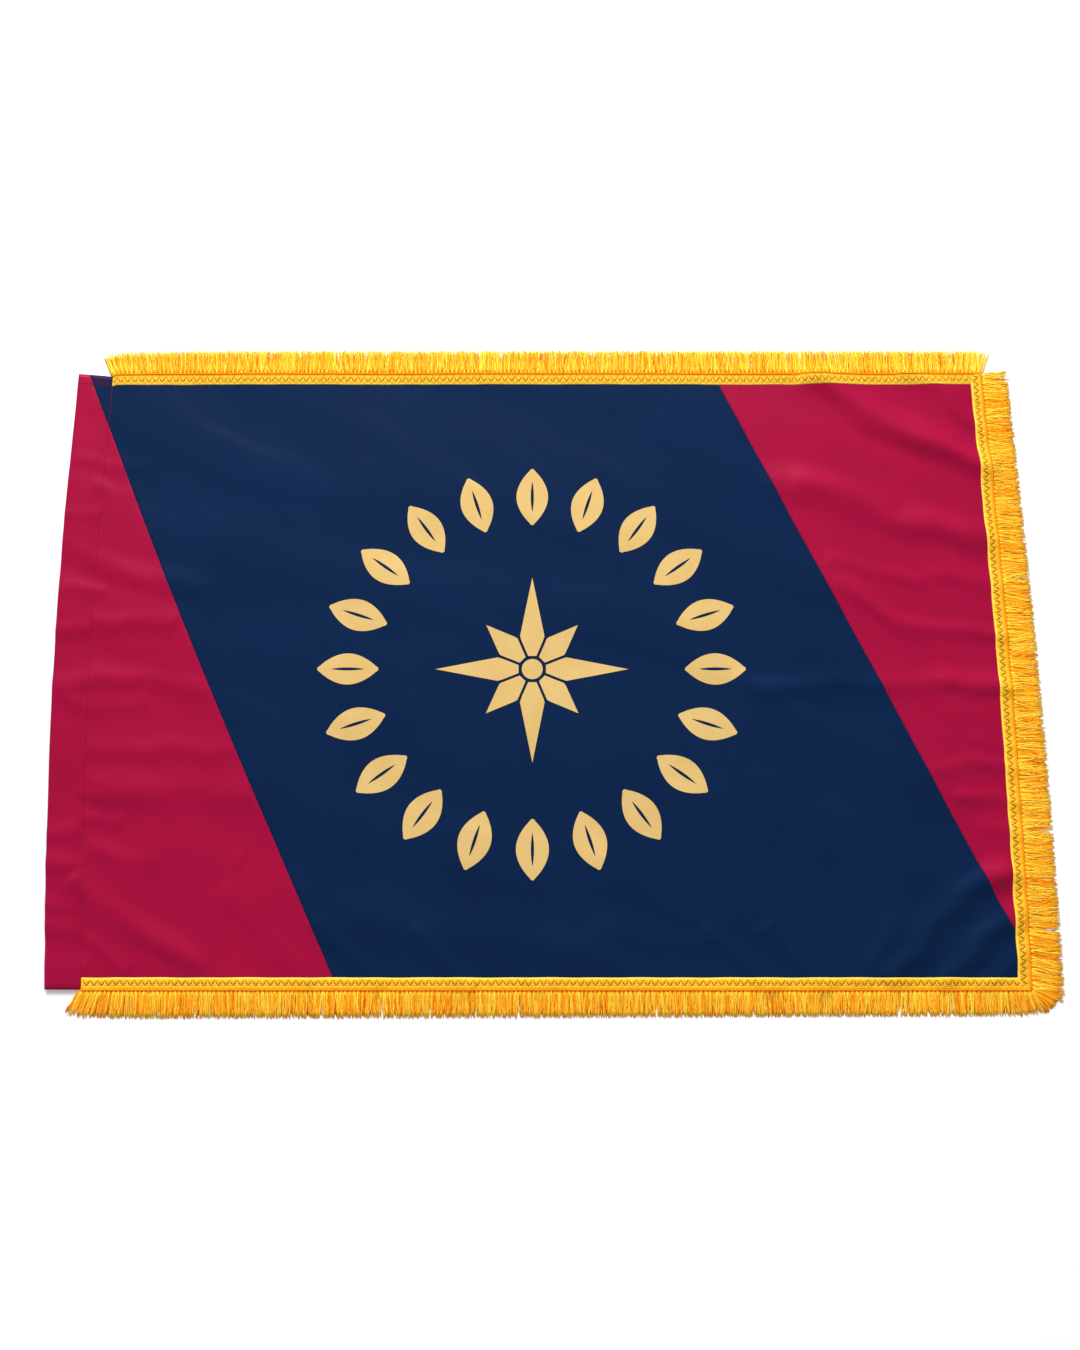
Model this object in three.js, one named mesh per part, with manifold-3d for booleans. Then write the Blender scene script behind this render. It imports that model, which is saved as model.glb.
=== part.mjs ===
// A fringed ceremonial flag with a pole sleeve, lying face up on a flat surface.
//
// Millimetres, +Z up. +X runs along the fly, away from the pole, and +Y towards the top edge.
// The origin is the centre of the underside. The cloth is pieced from three panels, its hoist end
// passes over a backing strip to make the sleeve for the pole, and a heading tape sewn along the
// other three edges carries the fringe. The emblem is cut from gold cloth, one patch a leaf.

import * as THREE from "three";
import { mergeVertices } from "three/addons/utils/BufferGeometryUtils.js";
import Module from "manifold-3d";

const wasm = await Module();
wasm.setup();

// Air between two pieces that touch on the real flag.
const gap = 0.3;

const cloth = { fly: 914, hoist: 610, thickness: 0.8 };

// Where the colours meet, as distances from the hoist edge along the top and bottom edges. The
// second join meets the bottom edge's line just past the fly edge, so it ends on the fly edge.
const hoistJoin = { top: 11, bottom: 275 };
const flyJoin = { top: cloth.fly - 274, bottom: cloth.fly + 14 };

// The sleeve lies nearly flat, as an empty one does. The fold is the rounded hoist edge.
const sleeve = {
  width: 34.5,
  height: 8.2,
  foldHeight: 3.4,
  crownStart: 10,
  crownEnd: 24,
  allowance: 1.5,
  ramp: 2.5,
  hem: { top: 10, bottom: 4.5 },
};

const tab = { length: 18, width: 12, thickness: 1, hole: 4, fromEnd: 16, fromHoist: 8 };

const heading = { width: 11, thickness: 1.6 };
const edgeCord = { diameter: 2, sides: 8 };
const skirt = { drop: 27, flyDrop: 31, thickness: 2.4, tooth: 12.3, slot: 0.9, joined: 5 };
const fan = { teeth: 4, from: -86, to: -4, slot: 2 };

const zigzag = { thread: 0.7, height: 0.4, reach: 4.4, step: 3.45, fromEdge: 4.2, endMargin: 2 };
const stitch = { width: 0.6, height: 0.4 };

const patch = { thickness: 0.4, vein: 3 };
const ring = { leaves: 20, innerRadius: 146, length: 58, width: 31, sidePoints: 6 };
const star = { points: 8, longTip: 92, shortTip: 62, hub: 13, shoulder: 32, groove: 2.6, disc: 10 };

const red = finish(0xa81a42, 0.62);
const navy = finish(0x15294f, 0.6);
const gold = finish(0xf2b52e, 0.45);
const orange = finish(0xee9416, 0.5);
const bronze = finish(0xb07f2a, 0.6);
const cream = finish(0xf0cb86, 0.7);
const leather = finish(0x6b4327, 0.7);

// Heights of the layers above the surface.
const fieldTop = cloth.thickness;
const onField = fieldTop + gap;
const onHeading = onField + heading.thickness + gap;
const overBacking = cloth.thickness + gap;

// Where the cloth has come down off the sleeve's seam and lies flat.
const fieldStart = sleeve.width + sleeve.allowance + gap + sleeve.ramp;
const topEdge = cloth.hoist / 2;
const cordCentre = gap + edgeCord.diameter / 2;
const skirtRoot = 2 * gap + edgeCord.diameter;

function finish(color, roughness) {
  return new THREE.MeshStandardMaterial({ color, roughness, metalness: 0 });
}

// ---- Outlines -------------------------------------------------------------------------------

const v2 = (x, y) => new THREE.Vector2(x, y);

// Points of an arc of an ellipse, from one angle to another, in degrees.
function arc(cx, cy, rx, ry, from, to, steps) {
  return Array.from({ length: steps + 1 }, (_, i) => {
    const a = THREE.MathUtils.degToRad(from + ((to - from) * i) / steps);
    return v2(cx + rx * Math.cos(a), cy + ry * Math.sin(a));
  });
}

// Points that leave one height level and arrive level at another. An odd number of steps keeps the
// middle three off one line.
function ease(x0, y0, x1, y1, steps) {
  return Array.from({ length: steps + 1 }, (_, i) => {
    const s = i / steps;
    return v2(x0 + (x1 - x0) * s, y0 + (y1 - y0) * s * s * (3 - 2 * s));
  });
}

// The path moved sideways, to its left for a positive distance.
function offset(path, distance) {
  const direction = (i) => path[i + 1].clone().sub(path[i]).normalize();
  return path.map((p, i) => {
    const before = direction(Math.max(i - 1, 0));
    const after = direction(Math.min(i, path.length - 2));
    const along = before.clone().add(after).normalize();
    const reach = distance / along.dot(after);
    return v2(p.x - along.y * reach, p.y + along.x * reach);
  });
}

// A strip of the given thickness centred on a path.
function band(path, thickness) {
  return new THREE.Shape([...offset(path, -thickness / 2), ...offset(path, thickness / 2).reverse()]);
}

function rectangle(x0, y0, x1, y1) {
  return new THREE.Shape([v2(x0, y0), v2(x1, y0), v2(x1, y1), v2(x0, y1)]);
}

// ---- Solids ---------------------------------------------------------------------------------

// An outline in the flag's plane, given a height from one level to another.
function slab(shape, bottom, height) {
  return new THREE.ExtrudeGeometry(shape, { depth: height, bevelEnabled: false }).translate(0, 0, bottom);
}

// An outline across the fly (x) and up (y), drawn out along the hoist and centred on y.
function alongHoist(shape, length, y = 0) {
  const geometry = new THREE.ExtrudeGeometry(shape, { depth: length, bevelEnabled: false });
  return geometry.translate(0, 0, -length / 2).rotateX(Math.PI / 2).translate(0, y, 0);
}

function solidOf(geometry) {
  const bare = geometry.clone();
  bare.deleteAttribute("normal");
  bare.deleteAttribute("uv");
  const merged = mergeVertices(bare);
  return new wasm.Manifold(
    new wasm.Mesh({
      numProp: 3,
      vertProperties: merged.attributes.position.array,
      triVerts: new Uint32Array(merged.index.array),
    }),
  );
}

function geometryOf(solid) {
  const mesh = solid.getMesh();
  return new THREE.BufferGeometry()
    .setAttribute("position", new THREE.BufferAttribute(mesh.vertProperties, 3))
    .setIndex(new THREE.BufferAttribute(mesh.triVerts, 1));
}

function intersection(a, b) {
  return geometryOf(solidOf(a).intersect(solidOf(b)));
}

const flag = new THREE.Group();
// Pieces are laid out in this group with x measured from the hoist edge.
const layout = new THREE.Group();
flag.add(layout);

function add(name, geometry, material, parent = layout) {
  const mesh = new THREE.Mesh(geometry, material);
  mesh.name = name;
  parent.add(mesh);
  return mesh;
}

// ---- The three panels -----------------------------------------------------------------------

// The middle of the cloth across the fly: up round the fold, over the sleeve and down to the field.
function clothPath() {
  const half = cloth.thickness / 2;
  const crown = sleeve.height - half;
  const overSeam = overBacking + half;
  const foldTop = sleeve.foldHeight + gap;
  return [
    ...arc(sleeve.crownStart, foldTop, sleeve.crownStart - half, crown - foldTop, 180, 90, 6),
    ...ease(sleeve.crownEnd, crown, sleeve.width, overSeam, 5),
    ...ease(fieldStart - sleeve.ramp, overSeam, fieldStart, half, 3),
    v2(cloth.fly, half),
  ];
}

// How far from the hoist edge a join lies at a height on the flag.
function joinAt(join, y) {
  return THREE.MathUtils.mapLinear(y, topEdge, -topEdge, join.top, join.bottom);
}

// A join's length for each millimetre of hoist, which turns a width across it into one along x.
function joinLean(join) {
  return Math.hypot(1, (join.bottom - join.top) / cloth.hoist);
}

// The part of the cloth between two joins. With no join, the cut is far outside the cloth.
function panel(left, right) {
  const past = 20;
  const far = cloth.fly;
  const [low, high] = [-topEdge - past, topEdge + past];
  const cut = (join, side, y) =>
    join ? joinAt(join, y) - (side * gap * joinLean(join)) / 2 : cloth.fly / 2 + side * far;
  const outline = new THREE.Shape([
    v2(cut(left, -1, low), low),
    v2(cut(right, 1, low), low),
    v2(cut(right, 1, high), high),
    v2(cut(left, -1, high), high),
  ]);
  const whole = alongHoist(band(clothPath(), cloth.thickness), cloth.hoist);
  return intersection(whole, slab(outline, -past, sleeve.height + 2 * past));
}

add("hoist_panel", panel(null, hoistJoin), red);
add("centre_panel", panel(hoistJoin, flyJoin), navy);
add("fly_panel", panel(flyJoin, null), red);

// ---- The pole sleeve ------------------------------------------------------------------------

// The backing strip closes the sleeve underneath and turns up at the hoist edge to meet the panels.
function backingPath() {
  const half = cloth.thickness / 2;
  const radius = sleeve.foldHeight - half;
  return [
    ...arc(half + radius, sleeve.foldHeight, radius, radius, 180, 270, 5),
    v2(sleeve.width + sleeve.allowance, half),
  ];
}

add("sleeve_back", alongHoist(band(backingPath(), cloth.thickness), cloth.hoist), red);

// A leather tab, with a hole for a screw in the pole, lies inside each end of the sleeve.
function tabGeometry() {
  const outline = new THREE.Shape();
  const radius = tab.width / 2;
  outline.moveTo(tab.length, -radius);
  outline.lineTo(tab.length, radius);
  outline.lineTo(radius, radius);
  outline.absarc(radius, 0, radius, Math.PI / 2, (3 * Math.PI) / 2, false);
  outline.closePath();
  outline.holes.push(new THREE.Path().absarc(radius, 0, tab.hole / 2, 0, 2 * Math.PI, true));
  return new THREE.ExtrudeGeometry(outline, { depth: tab.thickness, bevelEnabled: false, curveSegments: 8 });
}

for (const [end, side] of [["top", 1], ["bottom", -1]]) {
  const mesh = add("leather_tab_" + end, tabGeometry(), leather);
  mesh.position.set(tab.fromHoist, side * (topEdge - tab.fromEnd), overBacking);
}

// ---- Straight stitching ---------------------------------------------------------------------

const seamTop = overBacking + cloth.thickness + gap;
const sleeveSeam = rectangle(
  sleeve.width - stitch.width / 2,
  -topEdge,
  sleeve.width + stitch.width / 2,
  topEdge,
);
add("sleeve_seam_thread", slab(sleeveSeam, seamTop, stitch.height), red);

// The thread across each end of the sleeve follows the cloth over the crown.
function hemThreadPath() {
  const over = clothPath().filter((p) => p.x < sleeve.width - 2 * stitch.width);
  return offset(over, cloth.thickness / 2 + gap + stitch.height / 2).slice(1);
}

for (const [end, side] of [["top", 1], ["bottom", -1]]) {
  const thread = band(hemThreadPath(), stitch.height);
  const y = side * (topEdge - sleeve.hem[end]);
  add("sleeve_hem_thread_" + end, alongHoist(thread, stitch.width, y), red);
}

// ---- Fringe ---------------------------------------------------------------------------------

// Each edge's trim is drawn along its own x with y = 0 on the cloth's edge and y growing outwards,
// and is then turned into its place. The three follow one another clockwise round the flag. The
// fly edge's tape runs the whole height, so the other two stop beside it.
const sewnStart = fieldStart + gap;
const sewnLength = cloth.fly - sewnStart;
const lap = heading.width + gap;
const trims = {
  top: {
    at: [sewnStart, topEdge],
    turn: 0,
    length: sewnLength,
    tape: [0, sewnLength - lap],
    drop: skirt.drop,
  },
  fly: {
    at: [cloth.fly, topEdge],
    turn: -90,
    length: cloth.hoist,
    tape: [0, cloth.hoist],
    drop: skirt.flyDrop,
  },
  bottom: {
    at: [cloth.fly, -topEdge],
    turn: 180,
    length: sewnLength,
    tape: [lap, sewnLength],
    drop: skirt.drop,
  },
};

function headingTape({ tape }) {
  return slab(rectangle(tape[0], -heading.width, tape[1], 0), onField, heading.thickness);
}

// The thread that holds the tape down swings from side to side along it.
function zigzagThread({ tape }) {
  const start = tape[0] + zigzag.endMargin;
  const count = Math.floor((tape[1] - zigzag.endMargin - start) / zigzag.step);
  const path = Array.from({ length: count + 1 }, (_, i) =>
    v2(start + i * zigzag.step, -zigzag.fromEdge + (i % 2 ? 0.5 : -0.5) * zigzag.reach),
  );
  return slab(band(path, zigzag.thread), onHeading, zigzag.height);
}

// The chain-stitched cord binds the yarns together along the outer edge of the tape.
function bindingCord({ length }) {
  const radius = edgeCord.diameter / 2;
  const cord = new THREE.CylinderGeometry(radius, radius, length, edgeCord.sides);
  return cord.rotateZ(Math.PI / 2).translate(length / 2, cordCentre, cordCentre);
}

// The hanging yarns, as one comb: every tooth is three bundles, joined to the next at the root.
function skirtComb({ length, drop }) {
  const teeth = Math.round(length / skirt.tooth);
  const pitch = length / teeth;
  const outline = [v2(0, skirtRoot), v2(length, skirtRoot)];
  for (let i = teeth; i > 0; i--) {
    outline.push(v2(i * pitch - skirt.slot / 2, drop));
    outline.push(v2((i - 1) * pitch + skirt.slot / 2, drop));
    if (i > 1) outline.push(v2((i - 1) * pitch, skirtRoot + skirt.joined));
  }
  return slab(new THREE.Shape(outline), 0, skirt.thickness);
}

for (const [edge, trim] of Object.entries(trims)) {
  const place = new THREE.Group();
  place.position.set(...trim.at, 0);
  place.rotation.z = THREE.MathUtils.degToRad(trim.turn);
  layout.add(place);
  add("heading_" + edge, headingTape(trim), gold, place);
  add("zigzag_thread_" + edge, zigzagThread(trim), bronze, place);
  add("edge_cord_" + edge, bindingCord(trim), orange, place);
  add("skirt_" + edge, skirtComb(trim), gold, place);
}

// The yarns that fan round the lower fly corner, from the fly skirt to the bottom one.
function cornerFan() {
  const at = (radius, degrees) => arc(0, 0, radius, radius, degrees, degrees, 1)[0];
  const step = (fan.to - fan.from) / fan.teeth;
  const outline = arc(0, 0, skirtRoot, skirtRoot, fan.to, fan.from, 4);
  for (let i = 0; i < fan.teeth; i++) {
    const start = fan.from + i * step;
    const reach = THREE.MathUtils.mapLinear(i, 0, fan.teeth - 1, skirt.drop, skirt.flyDrop);
    if (i > 0) outline.push(at(skirtRoot + skirt.joined, start));
    outline.push(at(reach, start + fan.slot / 2), at(reach, start + step - fan.slot / 2));
  }
  return slab(new THREE.Shape(outline), 0, skirt.thickness);
}

add("skirt_corner", cornerFan(), gold).position.set(cloth.fly, -topEdge, 0);

// ---- Emblem ---------------------------------------------------------------------------------

const emblem = new THREE.Group();
emblem.position.set(cloth.fly / 2, 0, onField);
layout.add(emblem);

// A pointed oval along y, from two arcs, with an open vein down its middle.
function leafShape(length, width, vein) {
  const side = (half, sign) =>
    Array.from({ length: ring.sidePoints }, (_, i) => {
      const s = i / ring.sidePoints;
      return v2(sign * half * Math.sin(Math.PI * s) ** 0.8, length * (s - 0.5));
    });
  const turned = (points) => points.map((p) => v2(-p.x, -p.y));
  const outline = side(width / 2, 1);
  const shape = new THREE.Shape([...outline, ...turned(outline)]);
  const slit = side(vein / 2, 1).map((p) => v2(p.x, p.y * 0.55));
  shape.holes.push(new THREE.Path([...slit, ...turned(slit)].reverse()));
  return shape;
}

for (let i = 0; i < ring.leaves; i++) {
  const turn = new THREE.Group();
  turn.rotation.z = (-2 * Math.PI * i) / ring.leaves;
  emblem.add(turn);
  const leaf = slab(leafShape(ring.length, ring.width, patch.vein), 0, patch.thickness);
  const mesh = add("emblem_leaf_" + String(i + 1).padStart(2, "0"), leaf, cream, turn);
  mesh.position.y = ring.innerRadius + ring.length / 2;
}

// One point of the star, along y: a kite whose lower sides keep half a groove inside its sector,
// cut off at the hub to leave room for the disc.
function starPoint(tip) {
  const half = Math.PI / star.points;
  const inset = star.groove / 2 / Math.sin(half);
  const across = (y) => (y - inset) * Math.tan(half);
  const outline = [
    v2(-across(star.hub), star.hub),
    v2(across(star.hub), star.hub),
    v2(across(star.shoulder), star.shoulder),
    v2(0, tip),
    v2(-across(star.shoulder), star.shoulder),
  ];
  return slab(new THREE.Shape(outline), 0, patch.thickness);
}

for (let i = 0; i < star.points; i++) {
  const turn = new THREE.Group();
  turn.rotation.z = (-2 * Math.PI * i) / star.points;
  emblem.add(turn);
  add("star_point_" + (i + 1), starPoint(i % 2 ? star.shortTip : star.longTip), cream, turn);
}

const disc = new THREE.CylinderGeometry(star.disc, star.disc, patch.thickness, 24);
add("star_centre", disc.rotateX(Math.PI / 2).translate(0, 0, patch.thickness / 2), cream, emblem);

// The origin goes to the centre of the underside.
const bounds = new THREE.Box3().setFromObject(layout);
const middle = bounds.getCenter(new THREE.Vector3());
layout.position.set(-middle.x, -middle.y, -bounds.min.z);

export default flag;
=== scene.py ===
"""Looks of a fringed ceremonial flag that lies face up on a pale floor.

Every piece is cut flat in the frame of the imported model, in metres, and is then laid on one shared
surface, the drape, which gives the cloth its folds. The cloth, the emblem, the heading tapes and
the roots of the yarns all follow that surface, so that they stay together.
"""

import logging
import math
from dataclasses import dataclass
from enum import Enum
from typing import Any, Callable, Sequence

import bmesh
import bpy
import numpy as np
from mathutils import Matrix, Vector


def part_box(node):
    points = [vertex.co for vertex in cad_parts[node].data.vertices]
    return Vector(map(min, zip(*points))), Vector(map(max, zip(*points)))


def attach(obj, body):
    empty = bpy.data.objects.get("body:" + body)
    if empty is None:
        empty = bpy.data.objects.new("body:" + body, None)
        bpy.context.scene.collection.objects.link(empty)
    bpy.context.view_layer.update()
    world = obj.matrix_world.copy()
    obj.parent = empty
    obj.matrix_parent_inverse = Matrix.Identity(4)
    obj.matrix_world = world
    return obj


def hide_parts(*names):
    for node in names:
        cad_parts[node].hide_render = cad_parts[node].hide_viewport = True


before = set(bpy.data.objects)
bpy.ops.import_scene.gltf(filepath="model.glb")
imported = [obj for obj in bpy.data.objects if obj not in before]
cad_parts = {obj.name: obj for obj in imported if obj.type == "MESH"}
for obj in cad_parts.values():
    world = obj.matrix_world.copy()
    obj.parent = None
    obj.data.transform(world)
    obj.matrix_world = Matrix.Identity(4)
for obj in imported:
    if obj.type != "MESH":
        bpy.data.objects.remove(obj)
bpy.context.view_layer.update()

log = logging.getLogger("flag")

BMesh = bmesh.types.BMesh
Socket = bpy.types.NodeSocket

MM = 0.001
SEED = 7
SEAM_STEP = 4 * MM  # The cloth comes down off the sleeve's seam over this distance.


def ease(share: np.ndarray) -> np.ndarray:
    """Shares held between 0 and 1 and smoothed, so that they leave and arrive level."""
    held = np.clip(share, 0, 1)
    return held * held * (3 - 2 * held)


def column(values: Any) -> np.ndarray:
    """One value a row, for sums with a row of values for each."""
    return np.asarray(values)[:, None]


def middle_of(node: str) -> tuple[float, float]:
    """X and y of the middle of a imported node."""
    low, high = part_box(node)
    return (low[0] + high[0]) / 2, (low[1] + high[1]) / 2


# ---- Where things are ---------------------------------------------------------------------------


@dataclass(frozen=True)
class Layout:
    """Edges of the flag in the model's frame, in metres.

    Attributes:
        hoist: x of the folded edge where the pole sleeve is.
        fly: x of the free edge.
        top: y of the upper edge.
        bottom: y of the lower edge.
        seam: x of the stitching that closes the sleeve, where the fringe starts.
        emblem: x and y of the emblem's centre.
    """

    hoist: float
    fly: float
    top: float
    bottom: float
    seam: float
    emblem: tuple[float, float]

    @classmethod
    def from_frame(cls) -> "Layout":
        """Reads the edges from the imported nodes."""
        return cls(
            hoist=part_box("sleeve_back")[0][0],
            fly=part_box("fly_panel")[1][0],
            top=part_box("fly_panel")[1][1],
            bottom=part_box("hoist_panel")[0][1],
            seam=middle_of("sleeve_seam_thread")[0],
            emblem=middle_of("star_centre"),
        )

    @property
    def middle(self) -> tuple[float, float]:
        """Centre of the cloth, without its fringe."""
        return (self.hoist + self.fly) / 2, (self.top + self.bottom) / 2

    @property
    def size(self) -> tuple[float, float]:
        """Width along the fly and height along the hoist."""
        return self.fly - self.hoist, self.top - self.bottom


@dataclass(frozen=True)
class Fold:
    """A soft ridge in the cloth.

    Attributes:
        course: points that the crest passes, in millimetres from the cloth's centre.
        height: rise of the crest, in millimetres.
        width: distance from the crest over which the ridge falls away, in millimetres.
        taper: share of the course over which the ridge rises at each end.
        swell: share of the height by which the crest swells and sinks along its course.
        reach: how many widths from the crest the ridge is lost.
    """

    course: tuple[tuple[float, float], ...]
    height: float
    width: float
    taper: float = 0.2
    swell: float = 0.18
    reach: float = 3

    def rounded(self) -> list[tuple[float, float]]:
        """The course with its corners cut twice, so that the crest bends softly."""
        course = list(self.course)
        for _ in range(2):
            cut = [course[0]]
            for (ax, ay), (bx, by) in zip(course, course[1:]):
                cut.append((0.75 * ax + 0.25 * bx, 0.75 * ay + 0.25 * by))
                cut.append((0.25 * ax + 0.75 * bx, 0.25 * ay + 0.75 * by))
            course = [*cut, course[-1]]
        return course

    def rise(self, x: np.ndarray, y: np.ndarray) -> np.ndarray:
        """Height of the ridge at points of the cloth.

        Args:
            x: distances from the cloth's centre along the fly, in millimetres.
            y: distances from the cloth's centre up the hoist, in millimetres.

        Returns:
            The rise in millimetres, tapering off towards both ends of the course.
        """
        course = np.array(self.rounded())
        margin = self.reach * self.width
        low, high = course.min(axis=0) - margin, course.max(axis=0) + margin
        close = (x > low[0]) & (x < high[0]) & (y > low[1]) & (y < high[1])
        rise = np.zeros(x.shape)
        if not close.any():
            return rise
        x, y = x[close], y[close]
        nearest = np.full(x.shape, np.inf)
        share = np.zeros(x.shape)
        for i, ((ax, ay), (bx, by)) in enumerate(zip(course, course[1:])):
            dx, dy = bx - ax, by - ay
            s = np.clip(((x - ax) * dx + (y - ay) * dy) / (dx * dx + dy * dy), 0, 1)
            away = np.hypot(x - ax - s * dx, y - ay - s * dy)
            closer = away < nearest
            nearest = np.where(closer, away, nearest)
            share = np.where(closer, (i + s) / (len(course) - 1), share)
        body = ease(np.minimum(share, 1 - share) / self.taper)
        uneven = 1 - self.swell + self.swell * np.sin(9 * share + course[0][1])
        rise[close] = self.height * body * uneven * np.exp(-((nearest / self.width) ** 2))
        return rise


@dataclass(frozen=True)
class Drape:
    """The surface that the flag's cloth follows.

    Attributes:
        layout: the flag's edges.
        folds: the ridges, listed one by one.
        bow: how far the hoist and the fly bow outwards at mid height, in millimetres.
        skew: how far the lower fly corner lies outside the upper one, in millimetres.
        ripple: height of the slow waves that no cloth is free of, in millimetres.
        pucker: height of the gathers along the sewn edges, in millimetres.
        sag: how far the upper edge sags at the sleeve's seam and just past it, in millimetres.
        sag_run: how far past the seam, and how far down, the sag dies away, in millimetres.
    """

    layout: Layout
    folds: tuple[Fold, ...]
    bow: tuple[float, float] = (7.4, 4.6)
    skew: float = 11.5
    ripple: float = 0.62
    pucker: float = 0.22
    sag: tuple[float, float] = (2.9, 1.2)
    sag_run: float = 45

    def heights(self, x: np.ndarray, y: np.ndarray) -> np.ndarray:
        """Height of the cloth's underside over the floor.

        Args:
            x: positions along the fly, in metres.
            y: positions up the hoist, in metres.

        Returns:
            The heights in metres.
        """
        cx, cy = self.layout.middle
        u, v = (x - cx) / MM, (y - cy) / MM
        # The crests wander a few millimetres to either side of their courses.
        bent_u = u + 4 * np.sin(v / 19 + 1) + 2 * np.sin(v / 7 + u / 31)
        bent_v = v + 2.2 * np.sin(u / 17) + 1.4 * np.sin(u / 8 + v / 23)
        rise = sum((fold.rise(bent_u, bent_v) for fold in self.folds), np.zeros(x.shape))
        return (rise + self.waves(bent_u, bent_v) + self.gathers(x, y)) * MM

    def waves(self, u: np.ndarray, v: np.ndarray) -> np.ndarray:
        """Slow waves whose crests run along the fly and drop a little.

        Args:
            u: distances from the cloth's centre along the fly, in millimetres.
            v: distances from the cloth's centre up the hoist, in millimetres.

        Returns:
            The waves' heights in millimetres.
        """
        draw = np.random.default_rng(SEED)
        total = np.zeros(u.shape)
        for _ in range(14):
            angle = math.radians(draw.normal(76, 20))
            length = draw.uniform(38, 130)
            run = u * math.cos(angle) + v * math.sin(angle)
            total += np.sin(math.tau * run / length + draw.uniform(0, math.tau)) * length / 90
        return self.ripple * (1 + np.tanh(total / 3.2))

    def gathers(self, x: np.ndarray, y: np.ndarray) -> np.ndarray:
        """Small gathers that run in from the sewn edges.

        Args:
            x: positions along the fly, in metres.
            y: positions up the hoist, in metres.

        Returns:
            The gathers' heights in millimetres.
        """
        edges = self.layout
        total = np.zeros(x.shape)
        for inwards, along in ((edges.top - y, x), (y - edges.bottom, x), (edges.fly - x, y)):
            run = along / MM
            wave = np.sin(run / 2.9 + 2.2 * np.sin(run / 17)) * (0.6 + 0.4 * np.sin(run / 31))
            depth = np.clip(inwards / MM - 6, 0, None)
            total += (0.5 + 0.5 * wave) * np.exp(-depth / 9) * np.clip(inwards / MM / 8, 0, 1)
        return self.pucker * total

    def spread(self, x: np.ndarray, y: np.ndarray) -> np.ndarray:
        """Moves points along the fly, as the sides bow outwards and the cloth skews.

        Args:
            x: positions along the fly, in metres.
            y: positions up the hoist, in metres.

        Returns:
            The new positions along the fly, in metres.
        """
        down = np.clip((self.layout.top - y) / self.layout.size[1], 0, 1)
        across = np.clip((x - self.layout.hoist) / self.layout.size[0], 0, 1)
        bow = np.where(across < 0.5, *self.bow)
        bowed = bow * np.sin(np.pi * down) * np.sin(np.pi * (across - 0.5))
        hoist_drift = self.skew * (0.48 * down**2 - 0.17)
        fly_drift = self.skew * (down - 0.39)
        return x + (bowed + hoist_drift * (1 - across) ** 3 + fly_drift * across**6) * MM

    def lay(self, points: np.ndarray) -> np.ndarray:
        """Lays points of a flat piece on the cloth.

        Args:
            points: rows of x, y and height over the cloth, in metres.

        Returns:
            The same points on the drape.
        """
        laid = points.copy()
        laid[:, 0] = self.spread(points[:, 0], points[:, 1])
        laid[:, 1] -= self.drop(points[:, 0], points[:, 1])
        laid[:, 2] += self.heights(points[:, 0], points[:, 1])
        return laid

    def drop(self, x: np.ndarray, y: np.ndarray) -> np.ndarray:
        """How far the upper edge sags below its line near the sleeve's seam.

        Args:
            x: positions along the fly, in metres.
            y: positions up the hoist, in metres.

        Returns:
            The sag in metres.
        """
        to_seam = self.layout.seam - self.layout.hoist
        past_seam = x - self.layout.seam
        run = self.sag_run * MM
        on_sleeve = self.sag[0] * np.clip(1 + past_seam / to_seam, 0, 1)
        on_field = self.sag[1] * np.exp(-np.clip(past_seam, 0, None) / run)
        past = np.clip(past_seam / SEAM_STEP, 0, 1)
        sag = on_sleeve * (1 - past) + on_field * past
        return sag * MM * np.exp(-np.clip(self.layout.top - y, 0, None) / run)


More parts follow.
